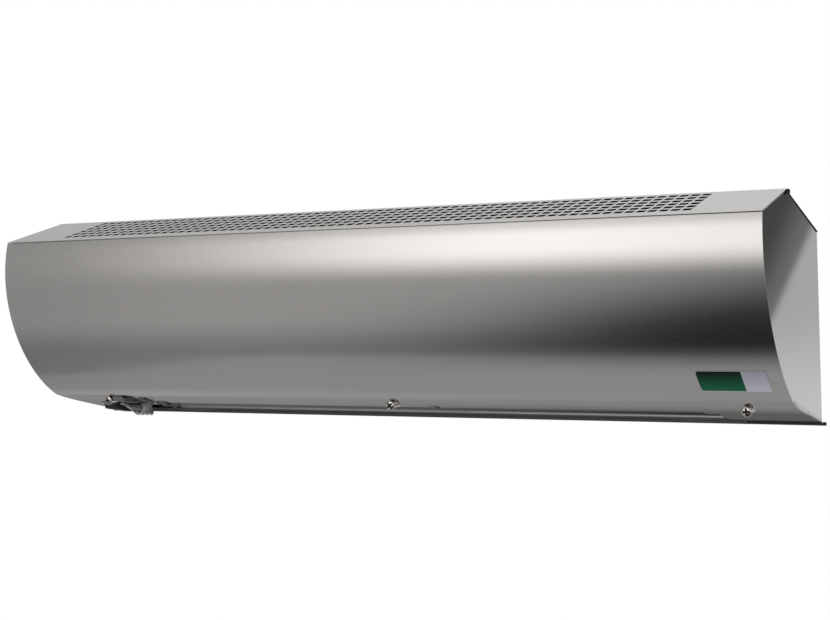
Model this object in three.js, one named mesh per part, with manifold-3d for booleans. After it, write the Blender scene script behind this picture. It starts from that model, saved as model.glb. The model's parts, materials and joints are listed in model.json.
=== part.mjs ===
// Air curtain for mounting on the wall above a doorway.
// A cross-flow fan draws room air in through the perforated top panel, past three
// heating rods, and blows it down through a long outlet slot with a swivelling vane.
// Millimetres, +Z up. X runs along the casing, -Y is the front, and the wall is the
// plane Y = 0. The origin is the centre of the back plate's rear face.

import * as THREE from 'three';
import { mergeGeometries, mergeVertices } from 'three/addons/utils/BufferGeometryUtils.js';
import Module from 'manifold-3d';

const wasm = await Module();
wasm.setup();

// ---- driving dimensions -------------------------------------------------------

const CASING_LENGTH = 800;
const HALF_LENGTH = CASING_LENGTH / 2;
const SHEET = 1.0;
const BACK_SHEET = 1.2;
const CLEARANCE = 0.3;

// Corners of the casing's cross-section as [y, z], with z from the lower rear edge.
const TOP_FOLD = [-197.6, 170.2];
const RIDGE = [-115, 200];
const WALL_TOP = [0, 176.6];
const WALL_BOTTOM = [0, 0];
const REAR_FOLD = [-58.3, 8.4];
const FRONT_FOLD = [-103.1, 15.2];

// The bulging front is one cubic curve, given by its end slopes in degrees.
const FRONT_SLOPE_TOP = -99;
const FRONT_SLOPE_BOTTOM = -23.3;
const FRONT_HANDLE = 63.6;
const FRONT_STEPS = 16;

// Perforated intake panel: rows run along X, columns run up the slope.
const HOLE_COLUMNS = 66;
const HOLE_ROWS = 6;
const HOLE_PITCH_X = 10.22;
const HOLE_PITCH_SLOPE = 12.05;
const HOLE_WIDTH = 7.9;
const HOLE_DEPTH = 9.0;
const FIRST_ROW = 17.2;

// Outlet slot in the underside.
const SLOT_LEFT = -290.5;
const SLOT_RIGHT = 319.5;
const SLOT_FRONT = -66;
const SLOT_REAR = -13;
const SLOT_STEP = 308;
const SLOT_STEP_FRONT = -54;

// Cable opening in the underside, at the left.
const CABLE_LEFT = -371.5;
const CABLE_RIGHT = -306;
const CABLE_FRONT = -66;
const CABLE_REAR = -14;

// Cover screws: pan heads on small tilted bosses.
const SCREW_X = { left: -331.7, centre: 9.3, right: 357.3 };
const SCREW_FACE = [-101, 9.8];
const SCREW_TILT = 38;
const SCREW_HEAD_RADIUS = 4.6;
const SCREW_HEAD_HEIGHT = 2.6;
const SCREW_SHANK_RADIUS = 2.3;
const SCREW_SHANK_LENGTH = 13;
const BOSS_RADIUS = 3.5;

// Fan.
const AXIS = [-98, 112];
const FAN_RADIUS = 42;
const BLADE_INNER_RADIUS = 32;
const BLADES = 20;
const SHAFT_RADIUS = 4;
const BULKHEAD = 1.5;
const BULKHEAD_LEFT = -303.5;
const BULKHEAD_RIGHT = 328;
const DUCT_LEFT = -301.7;
const DUCT_RIGHT = 327.7;

// Heating rods as [y, z].
const RODS = [[-60, 54], [-47, 60], [-34, 54]];
const ROD_RADIUS = 3.25;

// Outlet vane.
const VANE_PIVOT = [-31, 20];
const VANE_LEFT = -288;
const VANE_RIGHT = 317;
const PIN_RADIUS = 1.5;

// Label on the front, at the right.
const LABEL_LEFT = 325.8;
const LABEL_SPLIT = 365.2;
const LABEL_RIGHT = 387;
const LABEL_BOTTOM = 26.8;
const LABEL_TOP = 43;

// ---- finishes -----------------------------------------------------------------

const BRUSHED_STEEL = { color: 0x9a9896, roughness: 0.34, metalness: 1 };
const BLACK_PAINT = { color: 0x17181a, roughness: 0.55, metalness: 0 };
const ZINC_PLATE = { color: 0xb4b8bb, roughness: 0.42, metalness: 1 };
const NICKEL_PLATE = { color: 0xcfcdc8, roughness: 0.2, metalness: 1 };
const ALUMINIUM = { color: 0xc3c5c7, roughness: 0.3, metalness: 1 };
const BLACK_PLASTIC = { color: 0x202123, roughness: 0.5, metalness: 0 };
const GREY_PVC = { color: 0x6d6b69, roughness: 0.45, metalness: 0 };
const RUBBER = { color: 0x1b1b1b, roughness: 0.8, metalness: 0 };
const MICA = { color: 0x8f7a55, roughness: 0.6, metalness: 0 };
const DARK_STEEL = { color: 0x54504c, roughness: 0.5, metalness: 1 };
const IVORY_PLASTIC = { color: 0xd9d3c0, roughness: 0.5, metalness: 0 };
const BRONZE = { color: 0x9c7440, roughness: 0.4, metalness: 1 };
const GREEN_FILM = { color: 0x0f3f2a, roughness: 0.35, metalness: 0 };
const SILVER_FILM = { color: 0xb0aeb6, roughness: 0.3, metalness: 0.6 };

// ---- plane geometry -----------------------------------------------------------

const radians = THREE.MathUtils.degToRad;

function direction(from, to) {
  const length = Math.hypot(to[0] - from[0], to[1] - from[1]);
  return [(to[0] - from[0]) / length, (to[1] - from[1]) / length];
}

function along(start, heading, distance) {
  return [start[0] + heading[0] * distance, start[1] + heading[1] * distance];
}

// Offsets an open path to its left by a distance, with mitred corners.
function offsetPath(path, distance) {
  const result = [];
  for (let i = 0; i < path.length; i += 1) {
    const before = direction(path[Math.max(i - 1, 0)], path[Math.max(i, 1)]);
    const last = path.length - 1;
    const after = direction(path[Math.min(i, last - 1)], path[Math.min(i + 1, last)]);
    const normal = [-(before[1] + after[1]), before[0] + after[0]];
    const scale = distance / (1 + before[0] * after[0] + before[1] * after[1]);
    result.push([path[i][0] + normal[0] * scale, path[i][1] + normal[1] * scale]);
  }
  return result;
}

// A bent sheet's section: the path and its offset to the left.
function sheetSection(path, thickness) {
  return [...path, ...offsetPath(path, thickness).reverse()];
}

// Offsets a closed outline towards its right-hand side.
function insetOutline(outline, distance) {
  const wrapped = [outline[outline.length - 1], ...outline, outline[0]];
  return offsetPath(wrapped, -distance).slice(1, -1);
}

function frontCurve(steps, start = 0) {
  const topSlope = radians(FRONT_SLOPE_TOP);
  const bottomSlope = radians(FRONT_SLOPE_BOTTOM);
  const curve = new THREE.CubicBezierCurve(
    new THREE.Vector2(...TOP_FOLD),
    new THREE.Vector2(
      TOP_FOLD[0] + FRONT_HANDLE * Math.cos(topSlope),
      TOP_FOLD[1] + FRONT_HANDLE * Math.sin(topSlope),
    ),
    new THREE.Vector2(
      FRONT_FOLD[0] - FRONT_HANDLE * Math.cos(bottomSlope),
      FRONT_FOLD[1] - FRONT_HANDLE * Math.sin(bottomSlope),
    ),
    new THREE.Vector2(...FRONT_FOLD),
  );
  const points = [];
  for (let i = 0; i <= steps; i += 1) {
    const point = curve.getPoint(start + ((1 - start) * i) / steps);
    points.push([point.x, point.y]);
  }
  return points;
}

function casingOutline() {
  const front = frontCurve(FRONT_STEPS).slice(1).reverse();
  return [TOP_FOLD, RIDGE, WALL_TOP, WALL_BOTTOM, REAR_FOLD, ...front];
}

const PANEL_HEADING = direction(TOP_FOLD, RIDGE);
const PANEL_INWARD = [PANEL_HEADING[1], -PANEL_HEADING[0]];
const REAR_HEADING = direction(RIDGE, WALL_TOP);

// A point under the top panel: distance up the slope and depth below its surface.
function underPanel(distance, depth) {
  return along(along(TOP_FOLD, PANEL_HEADING, distance), PANEL_INWARD, depth);
}

// Outward height of the underside at a given y.
function undersideHeight(y) {
  const heading = y < REAR_FOLD[0]
    ? direction(REAR_FOLD, FRONT_FOLD)
    : direction(WALL_BOTTOM, REAR_FOLD);
  const base = y < REAR_FOLD[0] ? REAR_FOLD : WALL_BOTTOM;
  return base[1] + ((y - base[0]) * heading[1]) / heading[0];
}

function circle(radius, sides, centre = [0, 0], phase = 0) {
  const points = [];
  for (let i = 0; i < sides; i += 1) {
    const angle = phase + (2 * Math.PI * i) / sides;
    points.push([centre[0] + radius * Math.cos(angle), centre[1] + radius * Math.sin(angle)]);
  }
  return points;
}

// ---- solids -------------------------------------------------------------------

function shapeOf(outline, holes = []) {
  const points = outline.map(([u, v]) => new THREE.Vector2(u, v));
  if (THREE.ShapeUtils.isClockWise(points)) points.reverse();
  const shape = new THREE.Shape(points);
  for (const hole of holes) {
    shape.holes.push(new THREE.Path(hole.map(([u, v]) => new THREE.Vector2(u, v))));
  }
  return shape;
}

function extrude(outline, depth, holes = []) {
  const options = { depth, bevelEnabled: false, steps: 1 };
  return new THREE.ExtrudeGeometry(shapeOf(outline, holes), options);
}

// Extrudes a [y, z] section along X from x0 to x1.
function alongX(outline, x0, x1, holes = []) {
  const geometry = extrude(outline, x1 - x0, holes);
  geometry.applyMatrix4(new THREE.Matrix4().set(0, 0, 1, x0, 1, 0, 0, 0, 0, 1, 0, 0, 0, 0, 0, 1));
  return geometry;
}

function box(x0, x1, y0, y1, z0, z1) {
  const geometry = new THREE.BoxGeometry(x1 - x0, y1 - y0, z1 - z0);
  geometry.translate((x0 + x1) / 2, (y0 + y1) / 2, (z0 + z1) / 2);
  return geometry;
}

function rodAlongX(x0, x1, centre, radius, sides = 12) {
  return alongX(circle(radius, sides, centre), x0, x1);
}

// Turns a closed profile of [x, radius] points about an axis along X.
function turnedAboutX(profile, centre, sides) {
  const points = profile.map(([x, radius]) => new THREE.Vector2(radius, x));
  points.push(points[0].clone());
  const geometry = new THREE.LatheGeometry(points, sides);
  geometry.rotateZ(-Math.PI / 2);
  geometry.translate(0, centre[0], centre[1]);
  return geometry;
}

// Turns a profile of [height, radius] points about +Z, starting and ending on the axis.
function turned(profile, sides) {
  const points = profile.map(([height, radius]) => new THREE.Vector2(radius, height));
  const geometry = new THREE.LatheGeometry(points, sides);
  geometry.rotateX(Math.PI / 2);
  return geometry;
}

function solid(geometry) {
  const bare = new THREE.BufferGeometry();
  bare.setAttribute('position', geometry.getAttribute('position'));
  if (geometry.index) bare.setIndex(geometry.index);
  const merged = mergeVertices(bare, 1e-4);
  const mesh = new wasm.Mesh({
    numProp: 3,
    vertProperties: new Float32Array(merged.getAttribute('position').array),
    triVerts: new Uint32Array(merged.index.array),
  });
  const result = new wasm.Manifold(mesh);
  return result.volume() < 0 ? flipped(merged) : result;
}

function flipped(merged) {
  const order = Array.from(merged.index.array);
  for (let i = 0; i < order.length; i += 3) {
    [order[i], order[i + 1]] = [order[i + 1], order[i]];
  }
  return new wasm.Manifold(new wasm.Mesh({
    numProp: 3,
    vertProperties: new Float32Array(merged.getAttribute('position').array),
    triVerts: new Uint32Array(order),
  }));
}

function geometryOf(body) {
  const mesh = body.getMesh();
  const geometry = new THREE.BufferGeometry();
  const positions = new Float32Array(mesh.vertProperties);
  geometry.setAttribute('position', new THREE.BufferAttribute(positions, 3));
  geometry.setIndex(Array.from(mesh.triVerts));
  return geometry;
}

function joined(...geometries) {
  return geometries.map(solid).reduce((sum, next) => sum.add(next));
}

function without(body, ...cutters) {
  return cutters.map(solid).reduce((rest, cutter) => rest.subtract(cutter), body);
}

// ---- model --------------------------------------------------------------------

const airCurtain = new THREE.Group();
airCurtain.position.z = -WALL_TOP[1] / 2;

function addPiece(name, shape, finish) {
  const geometry = shape.isBufferGeometry ? shape : geometryOf(shape);
  const mesh = new THREE.Mesh(geometry, new THREE.MeshStandardMaterial(finish));
  mesh.name = name;
  airCurtain.add(mesh);
}

// Places a geometry whose +Z is the screw's outward axis at the screw's face.
function onScrewAxis(geometry, x) {
  geometry.rotateX(radians(90 + SCREW_TILT));
  geometry.translate(x, SCREW_FACE[0], SCREW_FACE[1]);
  return geometry;
}

// One sheet: joggled top flange, bulging front, two underside bands and a rear lip.
function frontCover() {
  const path = [
    underPanel(17, SHEET + CLEARANCE),
    underPanel(6.5, SHEET + CLEARANCE),
    underPanel(5, SHEET + 1.4),
    underPanel(0.6, SHEET + 1.4),
    ...frontCurve(FRONT_STEPS, 0.022),
    REAR_FOLD,
    [-7, undersideHeight(-7)],
    [-7, undersideHeight(-7) + 6],
  ];
  let body = solid(alongX(sheetSection(path, SHEET), -HALF_LENGTH, HALF_LENGTH));
  body = body.subtract(solid(box(SLOT_LEFT, SLOT_STEP, SLOT_FRONT, SLOT_REAR, -5, 20)));
  body = body.subtract(solid(box(SLOT_STEP - 1, SLOT_RIGHT, SLOT_STEP_FRONT, SLOT_REAR, -5, 20)));
  body = body.subtract(solid(box(CABLE_LEFT, CABLE_RIGHT, CABLE_FRONT, CABLE_REAR, -5, 20)));
  for (const strip of endFlanges()) body = body.add(solid(strip));
  const hollow = solid(alongX(insetOutline(casingOutline(), SHEET), -HALF_LENGTH, HALF_LENGTH));
  for (const x of Object.values(SCREW_X)) {
    const boss = turned([[-12, 0], [-12, BOSS_RADIUS], [-SCREW_HEAD_HEIGHT, BOSS_RADIUS],
      [-SCREW_HEAD_HEIGHT, 0]], 16);
    const bore = turned([[-30, 0], [-30, SCREW_SHANK_RADIUS + CLEARANCE],
      [5, SCREW_SHANK_RADIUS + CLEARANCE], [5, 0]], 12);
    body = body.add(solid(onScrewAxis(boss, x)).subtract(hollow));
    body = body.subtract(solid(onScrewAxis(bore, x)));
  }
  return body;
}

// Narrow flanges folded up at both ends of the underside, with relief notches.
function endFlanges() {
  const notch = 0.7;
  const spans = [
    [FRONT_FOLD, REAR_FOLD],
    [REAR_FOLD, [-7, undersideHeight(-7)]],
  ];
  const strips = [];
  for (const [from, to] of spans) {
    const heading = direction(from, to);
    const start = along(from, heading, 2 * notch);
    const end = along(to, heading, -notch);
    const rise = [-heading[1] * 4, heading[0] * 4];
    const section = [start, end, along(end, rise, 1), along(start, rise, 1)];
    strips.push(alongX(section, HALF_LENGTH - SHEET, HALF_LENGTH));
    strips.push(alongX(section, -HALF_LENGTH, SHEET - HALF_LENGTH));
  }
  return strips;
}

// Flat sloping panel, perforated with rectangular holes in straight columns.
function intakePanel() {
  const length = Math.hypot(RIDGE[0] - TOP_FOLD[0], RIDGE[1] - TOP_FOLD[1]);
  const holes = [];
  for (let column = 0; column < HOLE_COLUMNS; column += 1) {
    for (let row = 0; row < HOLE_ROWS; row += 1) {
      const x = (column - (HOLE_COLUMNS - 1) / 2) * HOLE_PITCH_X;
      const s = FIRST_ROW + row * HOLE_PITCH_SLOPE;
      const [w, d] = [HOLE_WIDTH / 2, HOLE_DEPTH / 2];
      holes.push(box(x - w, x + w, s - d, s + d, -2 * SHEET, SHEET));
    }
  }
  const sheet = solid(box(-HALF_LENGTH, HALF_LENGTH, 0, length, -SHEET, 0));
  const geometry = geometryOf(sheet.subtract(solid(mergeGeometries(holes))));
  geometry.rotateX(Math.atan2(PANEL_HEADING[1], PANEL_HEADING[0]));
  geometry.translate(0, TOP_FOLD[0], TOP_FOLD[1]);
  return geometry;
}

// Outline of an end panel: inside the cover and the slope, but flush with the wall.
function endOutline(distance, gap) {
  const underside = direction(REAR_FOLD, WALL_BOTTOM);
  const outline = casingOutline();
  outline[2] = along(WALL_TOP, REAR_HEADING, distance / REAR_HEADING[0]);
  outline[3] = along(WALL_BOTTOM, underside, distance / underside[0]);
  return insetOutline(outline, distance + gap);
}

// Tray-shaped end panel: a flat face with a flange turned inwards on three sides.
function endPanel(side) {
  const inset = SHEET + 0.5;
  const outer = endOutline(inset, 0);
  const inner = endOutline(inset, SHEET);
  const face = HALF_LENGTH - 1.6;
  const depth = 11;
  const plate = side > 0
    ? alongX(outer, face - SHEET, face)
    : alongX(outer, -face, SHEET - face);
  const skirt = side > 0
    ? alongX(outer, face - depth, face - SHEET / 2, [inner])
    : alongX(outer, SHEET / 2 - face, depth - face, [inner]);
  const lowerCut = side > 0
    ? box(face - depth - 1, face - SHEET, -92, -7.9, -2, 21)
    : box(SHEET - face, depth - face + 1, -92, -7.9, -2, 21);
  const rearCut = side > 0
    ? box(face - depth - 1, face - SHEET, -8, 2, -2, 190)
    : box(SHEET - face, depth - face + 1, -8, 2, -2, 190);
  const lipCut = box(-HALF_LENGTH, HALF_LENGTH, -8.5, -6.5, -2, 7.9);
  const railEnd = along(RIDGE, REAR_HEADING, 6.4);
  const railDepth = [REAR_HEADING[1] * 4.2, -REAR_HEADING[0] * 4.2];
  const railCut = alongX([
    underPanel(89, -1), along(railEnd, railDepth, 0), along(railEnd, railDepth, 1),
    along(RIDGE, railDepth, 1), underPanel(82, 6), underPanel(82, -1),
  ], -HALF_LENGTH, HALF_LENGTH);
  const flangeCut = alongX([
    underPanel(-4, 0), underPanel(18, 0), underPanel(18, 2 * SHEET + 2.7),
    underPanel(-4, 2 * SHEET + 2.7),
  ], -HALF_LENGTH, HALF_LENGTH);
  return without(joined(plate, skirt), lowerCut, rearCut, lipCut, railCut, flangeCut);
}

// Wall plate between the end panels, sloping up to the ridge over them, with a short
// lower lip that ends in small tabs, and two keyholes.
function backPlate() {
  const path = [
    [-6.6, undersideHeight(-6.6)],
    WALL_BOTTOM,
    WALL_TOP,
    along(RIDGE, REAR_HEADING, 5.8),
  ];
  let body = solid(alongX(sheetSection(path, BACK_SHEET), -HALF_LENGTH, HALF_LENGTH));
  const inside = HALF_LENGTH - 1.6 - SHEET - CLEARANCE;
  const top = WALL_TOP[1] - BACK_SHEET / REAR_HEADING[0];
  for (const side of [-1, 1]) {
    const ends = [side * inside, side * (HALF_LENGTH + 1)].sort((a, b) => a - b);
    const tip = [side * (HALF_LENGTH - 1.1), side * (HALF_LENGTH + 1)].sort((a, b) => a - b);
    const tab = [side * (HALF_LENGTH - 1), side * (HALF_LENGTH + 2.3)].sort((a, b) => a - b);
    body = body.subtract(solid(box(...ends, -4, 1, BACK_SHEET, top)));
    body = body.subtract(solid(box(...tip, -130, 1, 4, 205)));
    body = body.add(solid(box(...tab, -1.8, 0, 0, 3.2)));
  }
  for (const x of [-240, 240]) {
    const round = extrude(circle(5.5, 16, [x, 0]), 20);
    round.rotateX(Math.PI / 2);
    round.translate(0, 10, 130);
    const neck = box(x - 2.8, x + 2.8, -10, 10, 130, 143);
    body = without(body, round, neck);
  }
  return body;
}

// Black hanging rail under the ridge, a little longer than the casing.
function hookRail() {
  const start = along(RIDGE, REAR_HEADING, 1.2);
  const end = along(RIDGE, REAR_HEADING, 5);
  const inward = [REAR_HEADING[1], -REAR_HEADING[0]];
  const section = [start, end, along(end, inward, 3), along(start, inward, 3)];
  return alongX(section, -HALF_LENGTH - 1.6, HALF_LENGTH + 1.6);
}

// Pan head with a cross recess, and a plain shank.
function coverScrew(x) {
  const edge = SCREW_HEAD_RADIUS;
  const height = SCREW_HEAD_HEIGHT - CLEARANCE;
  const profile = [
    [-height - SCREW_SHANK_LENGTH, 0],
    [-height - SCREW_SHANK_LENGTH, SCREW_SHANK_RADIUS - 0.8],
    [-height - SCREW_SHANK_LENGTH + 1.5, SCREW_SHANK_RADIUS],
    [-height, SCREW_SHANK_RADIUS],
    [-height, edge],
    [-height * 0.55, edge],
    [-height * 0.2, edge * 0.8],
    [0, edge * 0.42],
    [0, 0],
  ];
  const screw = onScrewAxis(turned(profile, 16), x);
  const slotA = onScrewAxis(box(-2.7, 2.7, -0.5, 0.5, -1.6, 1), x);
  const slotB = onScrewAxis(box(-0.5, 0.5, -2.7, 2.7, -1.6, 1), x);
  return without(solid(screw), slotA, slotB);
}

// Angle rail behind the lower fold: the cover screws bite into its tilted leg.
function lowerRail() {
  const tilt = radians(SCREW_TILT);
  const heel = [-87.6, 15.2];
  const top = along(heel, [-Math.sin(tilt), Math.cos(tilt)], 15);
  const toe = [-70.5, undersideHeight(-70.5) + SHEET + 0.5];
  const section = sheetSection([toe, heel, top], -1.2);
  let body = solid(alongX(section, -385, 385));
  for (const x of Object.values(SCREW_X)) {
    const hole = turned([[-30, 0], [-30, SCREW_SHANK_RADIUS + CLEARANCE],
      [-4, SCREW_SHANK_RADIUS + CLEARANCE], [-4, 0]], 12);
    body = body.subtract(solid(onScrewAxis(hole, x)));
  }
  return body;
}

// Rear wall of the fan duct: a spiral round the fan, then a chute to the slot.
function scrollHousing() {
  const path = [];
  const [from, to, steps] = [82, -22, 12];
  for (let i = 0; i <= steps; i += 1) {
    const angle = radians(from + ((to - from) * i) / steps);
    const radius = FAN_RADIUS + 4 + (24 * i) / steps;
    path.push(along(AXIS, [Math.cos(angle), Math.sin(angle)], radius));
  }
  const spiralEnd = path[path.length - 1];
  const chute = new THREE.QuadraticBezierCurve(
    new THREE.Vector2(...spiralEnd),
    new THREE.Vector2(-22, 62),
    new THREE.Vector2(-12.3, undersideHeight(-12.3) + SHEET + 0.8),
  );
  for (const point of chute.getPoints(5).slice(1)) path.push([point.x, point.y]);
  return alongX(sheetSection(path, SHEET), DUCT_LEFT, DUCT_RIGHT);
}

// Front wall of the duct, curled under the fan.
function outletTongue() {
  const curve = new THREE.SplineCurve([
    new THREE.Vector2(-122, 62),
    new THREE.Vector2(-112, 58.5),
    new THREE.Vector2(-97, 60),
    new THREE.Vector2(-84, 56),
    new THREE.Vector2(-75, 45),
    new THREE.Vector2(-69.5, 30),
    new THREE.Vector2(-67.2, undersideHeight(-67.2) + SHEET + 0.6),
  ]);
  const path = curve.getPoints(14).map((point) => [point.x, point.y]);
  return alongX(sheetSection(path, -SHEET), DUCT_LEFT, DUCT_RIGHT);
}

// Bulkhead at one end of the duct, open round the fan's end.
function bulkhead(x0, fanHoleRadius) {
  const outline = [
    [-2, 7.6], [-8.8, 7.6], [-8.8, 2.9], [-66.4, 11.6], [-68.2, 32.5], [-112, 33.5],
    [-152, 64], [-160, 120], [-150, 172], [-66, 184.5], [-2, 171],
  ];
  const holes = [circle(fanHoleRadius, 24, AXIS)];
  for (const rod of RODS) holes.push(circle(ROD_RADIUS + CLEARANCE, 12, rod));
  holes.push(circle(PIN_RADIUS + CLEARANCE, 10, VANE_PIVOT));
  const plate = solid(alongX(outline, x0, x0 + BULKHEAD, holes));
  const foot = x0 < 0
    ? box(x0 - 10, x0 + BULKHEAD / 2, -2.7, -1.5, 20, 165)
    : box(x0 + BULKHEAD / 2, x0 + BULKHEAD + 10, -2.7, -1.5, 20, 165);
  return plate.add(solid(foot));
}

// Drum of curved blades between two end discs.
function impeller(x0, x1, hubAtLeft) {
  const hub = circle(SHAFT_RADIUS + CLEARANCE, 16, AXIS);
  const opening = circle(BLADE_INNER_RADIUS - 1, 24, AXIS);
  const rim = circle(FAN_RADIUS, 40, AXIS);
  const disc = 1.6;
  const rings = [
    alongX(rim, x0, x0 + disc, [hubAtLeft ? hub : opening]),
    alongX(rim, x1 - disc, x1, [hubAtLeft ? opening : hub]),
  ];
  let body = joined(...rings);
  const boss = hubAtLeft
    ? alongX(circle(11, 16, AXIS), x0 + disc / 2, x0 + 12, [hub])
    : alongX(circle(11, 16, AXIS), x1 - 12, x1 - disc / 2, [hub]);
  body = body.add(solid(boss));
  for (let i = 0; i < BLADES; i += 1) {
    const angle = (360 * i) / BLADES;
    body = body.add(solid(alongX(bladeSection(angle), x0 + disc / 2, x1 - disc / 2)));
  }
  return body;
}

function bladeSection(degrees) {
  const points = [];
  const sweep = [0, 9, 15];
  const radii = [BLADE_INNER_RADIUS, (BLADE_INNER_RADIUS + FAN_RADIUS) / 2, FAN_RADIUS - 0.4];
  for (let i = 0; i < radii.length; i += 1) {
    const angle = radians(degrees + sweep[i]);
    points.push(along(AXIS, [Math.cos(angle), Math.sin(angle)], radii[i]));
  }
  return sheetSection(points, 0.8);
}

// Coupling ring that joins the two fan drums.
function fanCoupling() {
  const opening = circle(BLADE_INNER_RADIUS - 1, 24, AXIS);
  return alongX(circle(FAN_RADIUS - 1, 32, AXIS), 13.3, 16.7, [opening]);
}

function motorHousing() {
  return turnedAboutX([
    [337, SHAFT_RADIUS + 1], [337, 18], [340, 20], [340, 38], [343, 40], [377, 40],
    [380, 38], [380, 16], [384, 14], [384, SHAFT_RADIUS + 1],
  ], AXIS, 24);
}

// Round mounting plate between the motor and the right bulkhead.
function motorPlate() {
  const holes = [circle(SHAFT_RADIUS + 1.2, 16, AXIS)];
  for (const centre of motorPosts()) holes.push(circle(2.3, 10, centre));
  return alongX(circle(46, 32, AXIS), 329.8, 331.8, holes);
}

function motorPosts() {
  return [90, 210, 330].map((degrees) => {
    const angle = radians(degrees);
    return along(AXIS, [Math.cos(angle), Math.sin(angle)], 30);
  });
}

// Rubber-mounted sleeve that carries the fan's left shaft.
function bearing() {
  return turnedAboutX([
    [-309, SHAFT_RADIUS + CLEARANCE], [-309, 9], [-306.8, 13], [-303.8, 13],
    [-303.8, 10.6], [-300, 10.6], [-300, SHAFT_RADIUS + CLEARANCE],
  ], AXIS, 24);
}

// Plate of mica that holds the rods in the middle of the duct.
function rodSupport(x0) {
  const outline = [[-69.5, 51], [-60, 66], [-36, 68], [-27.6, 60], [-26.8, 48], [-62, 47]];
  const holes = RODS.map((rod) => circle(ROD_RADIUS + CLEARANCE, 12, rod));
  return alongX(outline, x0, x0 + 1.5, holes);
}

// Upright blade with a folded lower edge that steers the air.
function outletVane() {
  const path = [
    [-31.7, 5.2], [-31.7, 7], [-33.9, 11.5], [-31.2, 16], [-30.4, 20], [-29.6, 30],
    [-30.4, 31.6],
  ];
  return alongX(sheetSection(path, 1.3), VANE_LEFT, VANE_RIGHT);
}

// Barrel at one end of the vane, with the pivot pin.
function vanePin(end) {
  const barrel = end < 0
    ? rodAlongX(VANE_LEFT - 3.5, VANE_LEFT - CLEARANCE, VANE_PIVOT, 4)
    : rodAlongX(VANE_RIGHT + CLEARANCE, VANE_RIGHT + 6, VANE_PIVOT, 4);
  const pin = end < 0
    ? rodAlongX(BULKHEAD_LEFT - 3, VANE_LEFT - 2, VANE_PIVOT, PIN_RADIUS, 10)
    : rodAlongX(VANE_RIGHT + 3, BULKHEAD_RIGHT + BULKHEAD + 3, VANE_PIVOT, PIN_RADIUS, 10);
  return joined(barrel, pin);
}

// Rows of screw towers on a strip: the terminals of the supply wires.
function terminalBlock() {
  const parts = [box(-392, -384, -60, -12, 60, 72)];
  for (let i = 0; i < 5; i += 1) {
    const y = -55.5 + i * 9.75;
    parts.push(box(-384.5, -374, y - 4, y + 4, 61, 71));
  }
  return joined(...parts);
}

function relayBox() {
  return box(-393, -352, -46, -4, 88, 150);
}

function clampBlock() {
  const section = [[-60, 10.8], [-57, 1.8], [-22, -0.8], [-17, 2], [-17, 16], [-60, 16]];
  return alongX(section, -370.8, -356.4);
}

// Dark cheek under the front band: a wedge with a flat bottom and a rounded right end.
function clampLug(x0, x1, front, rear, height) {
  const top = undersideHeight(front) - CLEARANCE;
  const section = [
    [front, top], [front + 1.2, top - height], [rear, undersideHeight(rear) - CLEARANCE - 1.2],
    [rear, undersideHeight(rear) - CLEARANCE],
  ];
  const radius = height * 0.9;
  const face = [[x0, top - height - 9], [x1, top - height - 9]];
  for (let i = 0; i <= 5; i += 1) {
    const angle = radians((90 * i) / 5);
    const corner = [x1 - radius, top - radius];
    face.push(along(corner, [Math.cos(angle), Math.sin(angle)], radius));
  }
  face.push([x0, top]);
  const limit = extrude(face, 60);
  limit.rotateX(Math.PI / 2);
  limit.translate(0, rear + 10, 0);
  return solid(alongX(section, x0, x1)).intersect(solid(limit));
}

// Round lead: a tube along a smooth curve through the given points.
function lead(points, radius) {
  const curve = new THREE.CatmullRomCurve3(points.map((point) => new THREE.Vector3(...point)));
  const section = new THREE.Shape(circle(radius, 8).map(([u, v]) => new THREE.Vector2(u, v)));
  const options = { steps: 20, bevelEnabled: false, extrudePath: curve };
  return new THREE.ExtrudeGeometry(section, options);
}

// Route of one supply lead: out of the clamp, slanting down below the casing, then
// rearwards and up to the grommet.
function leadRoute(index) {
  const y = -50.5 + index * 4.7;
  const x = index * 2.6;
  return [
    [-354.7, y, 8], [-348.5 + x / 2, y, 6.6], [-340 + x, y, 2.2], [-333 + x, y, -2],
    [-328 + x, y + 0.8, -2.6], [-325 + x * 0.8, y + 2.5, 2.2], [-324.4 + x * 0.8, y + 3.5, 10],
    [-324.4 + x * 0.8, y + 3.5, 27.2],
  ];
}

function leadGrommet() {
  return box(-328, -315, -50, -29, 27.5, 38);
}

// Thin film on the curved front, trimmed to a rectangle.
function label(x0, x1) {
  const curve = frontCurve(FRONT_STEPS);
  const skin = sheetSection(offsetPath(curve, -0.35), -0.45);
  const band = solid(alongX(skin, x0, x1));
  const trim = solid(box(x0 - 1, x1 + 1, -220, -60, LABEL_BOTTOM, LABEL_TOP));
  return band.intersect(trim);
}

// Small steel clip hooked over the front lip of the outlet slot.
function slotClip(x0, x1) {
  const below = 0.35;
  const front = SLOT_FRONT - 8;
  const rear = SLOT_FRONT + 0.5;
  const path = [
    [front, undersideHeight(front) - below],
    [rear, undersideHeight(rear) - below],
    [rear, undersideHeight(rear) + 9],
  ];
  return alongX(sheetSection(path, -0.9), x0, x1);
}

// ---- assembly -----------------------------------------------------------------

addPiece('front_cover', frontCover(), BRUSHED_STEEL);
addPiece('intake_panel', intakePanel(), BRUSHED_STEEL);
addPiece('end_panel_left', endPanel(-1), BRUSHED_STEEL);
addPiece('end_panel_right', endPanel(1), BRUSHED_STEEL);
addPiece('back_plate', backPlate(), BLACK_PAINT);
addPiece('hook_rail', hookRail(), BLACK_PAINT);
addPiece('lower_rail', lowerRail(), ZINC_PLATE);
for (const [side, x] of Object.entries(SCREW_X)) {
  addPiece(`cover_screw_${side}`, coverScrew(x), NICKEL_PLATE);
}

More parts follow.
